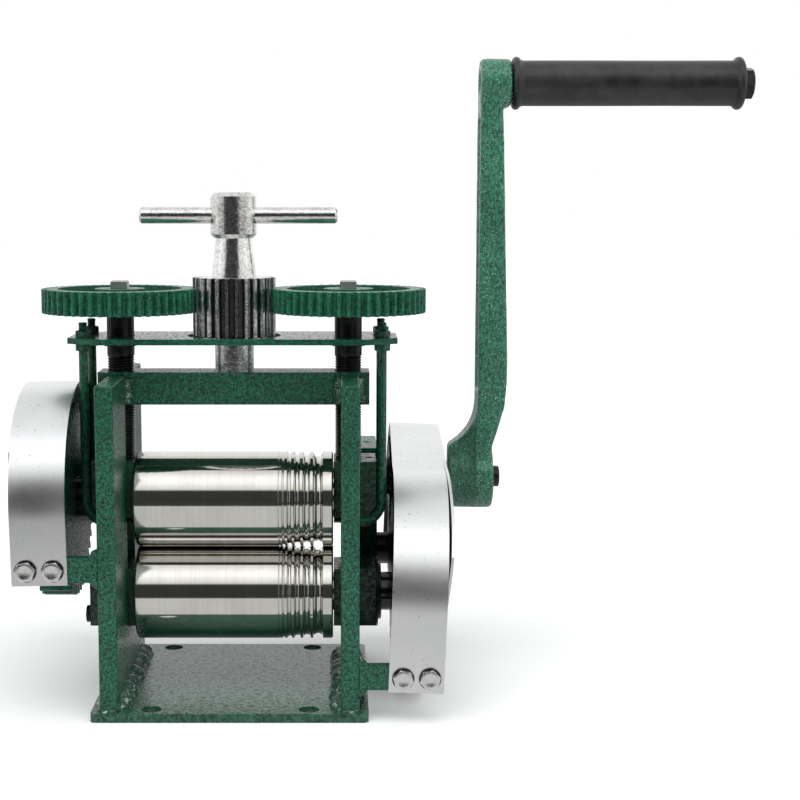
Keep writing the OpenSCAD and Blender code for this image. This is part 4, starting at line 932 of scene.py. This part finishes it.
def cast_arm():
    """The CAD arm, remeshed and relaxed so that its edges are as soft as a casting's."""
    copy = bpy.data.objects.new("crank_casting", NODES["crank_arm"].data.copy())
    bpy.context.scene.collection.objects.link(copy)
    modify(copy, "REMESH", mode="VOXEL", voxel_size=ARM_VOXEL)
    modify(copy, "CORRECTIVE_SMOOTH", factor=0.5, iterations=7, use_only_smooth=True)
    graph = bpy.context.evaluated_depsgraph_get()
    baked = bpy.data.meshes.new_from_object(copy.evaluated_get(graph))
    bpy.data.objects.remove(copy)
    tool = bmesh.new()
    tool.from_mesh(baked)
    bpy.data.meshes.remove(baked)
    a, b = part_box("crank_arm")
    hub = middle("crank_bolt")
    boss = middle("grip_spindle")
    soften(tool, lambda p: p.z < hub.z + FOOT_RISE or p.z > boss.z - BOSS_REACH, ARM_ROUNDS)
    for v in tool.verts:
        x, y, z = v.co
        away = y - hub.y
        foot = 1 - ease((z - hub.z - FOOT_RISE) / FOOT_FADE)
        left = RIDGE_X - x
        if left > 0:
            waist = RIDGE_STEP * ease(left / RIDGE_STEP_W) + FOOT_WAIST * min(1.0, left / FOOT_WAIST_W)
            away *= 1 - foot * waist
        else:
            away *= 1 + FOOT_FULL * foot * ease((hub.z + FOOT_FULL_TOP - z) / FOOT_FADE)
        grain = noise.noise(v.co * ARM_GRAIN_SCALE) * ARM_GRAIN
        place = Vector((x, hub.y + away, z)) - v.normal * (ARM_INSET + grain)
        v.co = Vector(min(max(place[i], a[i]), b[i]) for i in range(3))
    new_piece("crank_casting", tool, ARM_MAT, "crank", "crank_arm", 0)


# CAD nodes whose place is taken by the pieces above
REPLACED = {"left_screw", "right_screw", "hook_rods", "rod_nuts", "guard_bolts", "frame_welds", "grip",
            "grip_spindle", "crank_bolt", "crank_arm"}
for node_name in NODES:
    if node_name not in REPLACED:
        dress_node(node_name)
for side_name in ("left", "right"):
    pressure_screw(side_name)
for rod_number, corner_signs in enumerate(((-1, -1), (1, -1), (-1, 1), (1, 1)), 1):
    hook_rod(rod_number, *corner_signs)
rod_nuts()
guard_bolts()
welds()
grip()
spindle()
crank_bolt()
cast_arm()


# Floor: its tone, the glow that the camera sees and that does not light the pieces, and what shiny surfaces
# see of it, which is bright under the mill, dimmer behind REAR_START and dark in front of TABLE_EDGE
FLOOR_HALF = 9
FLOOR_TONE = 0.80
FLOOR_GLOW = 0.24
FLOOR_SHINE = 0.67
REAR_SHINE = 0.42
REAR_START = 0.3
TABLE_EDGE = -0.78
DARK_LIGHT = 0.055


def floor():
    tool = bmesh.new()
    bmesh.ops.create_grid(tool, x_segments=1, y_segments=1, size=FLOOR_HALF)
    mesh = bpy.data.meshes.new("floor")
    tool.to_mesh(mesh)
    tool.free()
    ground = bpy.data.objects.new("floor", mesh)
    bpy.context.scene.collection.objects.link(ground)
    s = Shader("floor_white")
    s.put((FLOOR_TONE, FLOOR_TONE, FLOOR_TONE), s.bsdf.inputs["Base Color"])
    s.put(0.7, s.bsdf.inputs["Roughness"])
    s.put(0.0, s.bsdf.inputs["Specular IOR Level"])
    path = s.add("ShaderNodeLightPath").outputs

    def glow(level):
        node = s.add("ShaderNodeEmission")
        s.put(level, node.inputs["Strength"])
        return node.outputs[0]

    lit = s.add("ShaderNodeAddShader")
    s.put(s.bsdf.outputs[0], lit.inputs[0])
    s.put(glow(FLOOR_GLOW), lit.inputs[1])
    shown = s.choose(path["Is Camera Ray"], s.bsdf.outputs[0], lit.outputs[0])
    depth = s.axis("Y", s.place)
    table = s.choose(s.maths("GREATER_THAN", depth, REAR_START), glow(FLOOR_SHINE), glow(REAR_SHINE))
    table = s.choose(s.maths("LESS_THAN", depth, TABLE_EDGE), table, glow(DARK_LIGHT))
    shown = s.choose(path["Is Glossy Ray"], shown, table)
    shown = s.choose(path["Is Transmission Ray"], shown, glow(1.0))
    s.put(shown, s.tree.nodes["Material Output"].inputs["Surface"])
    mesh.materials.append(s.material)


# Lamps, wide and distant: azimuth (0 in front, 90 on the crank's side), elevation and strength
LAMPS = {"top_lamp": (0, 76, 1.35), "left_lamp": (-45, 35, 0.6), "right_lamp": (45, 35, 0.6)}
LAMP_WIDTH = 50


def soft_sun(name, azimuth, elevation, strength):
    """A lamp that metal does not mirror, since it reflects the world instead."""
    data = bpy.data.lights.new(name, "SUN")
    data.energy = strength
    data.angle = math.radians(LAMP_WIDTH)
    thing = bpy.data.objects.new(name, data)
    bpy.context.scene.collection.objects.link(thing)
    t, e = math.radians(azimuth), math.radians(elevation)
    place = Vector((math.sin(t) * math.cos(e), -math.cos(t) * math.cos(e), math.sin(e)))
    thing.location = place * 2
    thing.rotation_euler = (-place).to_track_quat("-Z", "Y").to_euler()
    thing.visible_glossy = False


# What the room shows to shiny surfaces. Rises go from the front horizon over the top to the back, and
# sides from the left to the right, in degrees
ROOM_LIGHT = 0.82
DARK_LOW, DARK_HIGH = -9.0, 30.0
DARK_LEFT, DARK_RIGHT = -46.0, 30.0
DARK_SOFT = 2.5
SOFTBOX_RISE, SOFTBOX_HALF = 55.0, 30.0
SOFTBOX_LIGHT = 0.62
BACK_START, BACK_FULL = 132.0, 140.0
BACK_LIGHT = 1.0

# What the room gives to all other surfaces
AMBIENT = 0.50
AMBIENT_TINT = (0.96, 0.98, 1.0)


def surroundings():
    world = bpy.data.worlds.new("studio")
    bpy.context.scene.world = world
    world.use_nodes = True
    world.node_tree.nodes.clear()
    n = Nodes(world.node_tree)

    def edge(value, start, stop):
        return n.span(value, start, stop, "SMOOTHSTEP")

    def between(value, start, stop):
        return n.maths("MULTIPLY", edge(value, start - DARK_SOFT, start + DARK_SOFT),
                       edge(value, stop + DARK_SOFT, stop - DARK_SOFT))

    place = n.add("ShaderNodeTexCoord").outputs["Generated"]
    ahead = n.maths("MULTIPLY", n.axis("Y", place), -1.0)
    turned = n.maths("MULTIPLY", n.maths("ARCTAN2", n.axis("Z", place), ahead), 180 / math.pi)
    rise = n.maths("MULTIPLY_ADD", n.maths("LESS_THAN", turned, -90.0), 360.0, turned)
    side = n.maths("MULTIPLY", n.maths("ARCSINE", n.axis("X", place)), 180 / math.pi)
    dark = n.maths("MULTIPLY", between(rise, DARK_LOW, DARK_HIGH), between(side, DARK_LEFT, DARK_RIGHT))
    from_softbox = n.maths("ABSOLUTE", n.maths("SUBTRACT", rise, SOFTBOX_RISE))
    bright = n.maths("MULTIPLY_ADD", edge(from_softbox, SOFTBOX_HALF, 0.0), SOFTBOX_LIGHT, ROOM_LIGHT)
    bright = n.maths("MULTIPLY_ADD", edge(rise, BACK_START, BACK_FULL), BACK_LIGHT - ROOM_LIGHT, bright)
    level = n.maths("MULTIPLY", bright, n.maths("MULTIPLY_ADD", dark, DARK_LIGHT - 1.0, 1.0))

    # The camera, straight or through clear pieces, sees white
    path = n.add("ShaderNodeLightPath").outputs
    white = n.maths("MAXIMUM", path["Is Camera Ray"], path["Is Transmission Ray"])
    mirrored = n.maths("MULTIPLY", level, n.maths("SUBTRACT", 1.0, white))
    plain = n.add("ShaderNodeBackground")
    n.put(AMBIENT_TINT, plain.inputs["Color"])
    n.put(AMBIENT, plain.inputs["Strength"])
    shine = n.add("ShaderNodeBackground")
    n.put(n.maths("ADD", mirrored, white), shine.inputs["Color"])
    seen = n.maths("MAXIMUM", white, path["Is Glossy Ray"])
    out = n.add("ShaderNodeOutputWorld")
    n.put(n.choose(seen, plain.outputs[0], shine.outputs[0]), out.inputs["Surface"])


floor()
for lamp_name, lamp in LAMPS.items():
    soft_sun(lamp_name, *lamp)
surroundings()
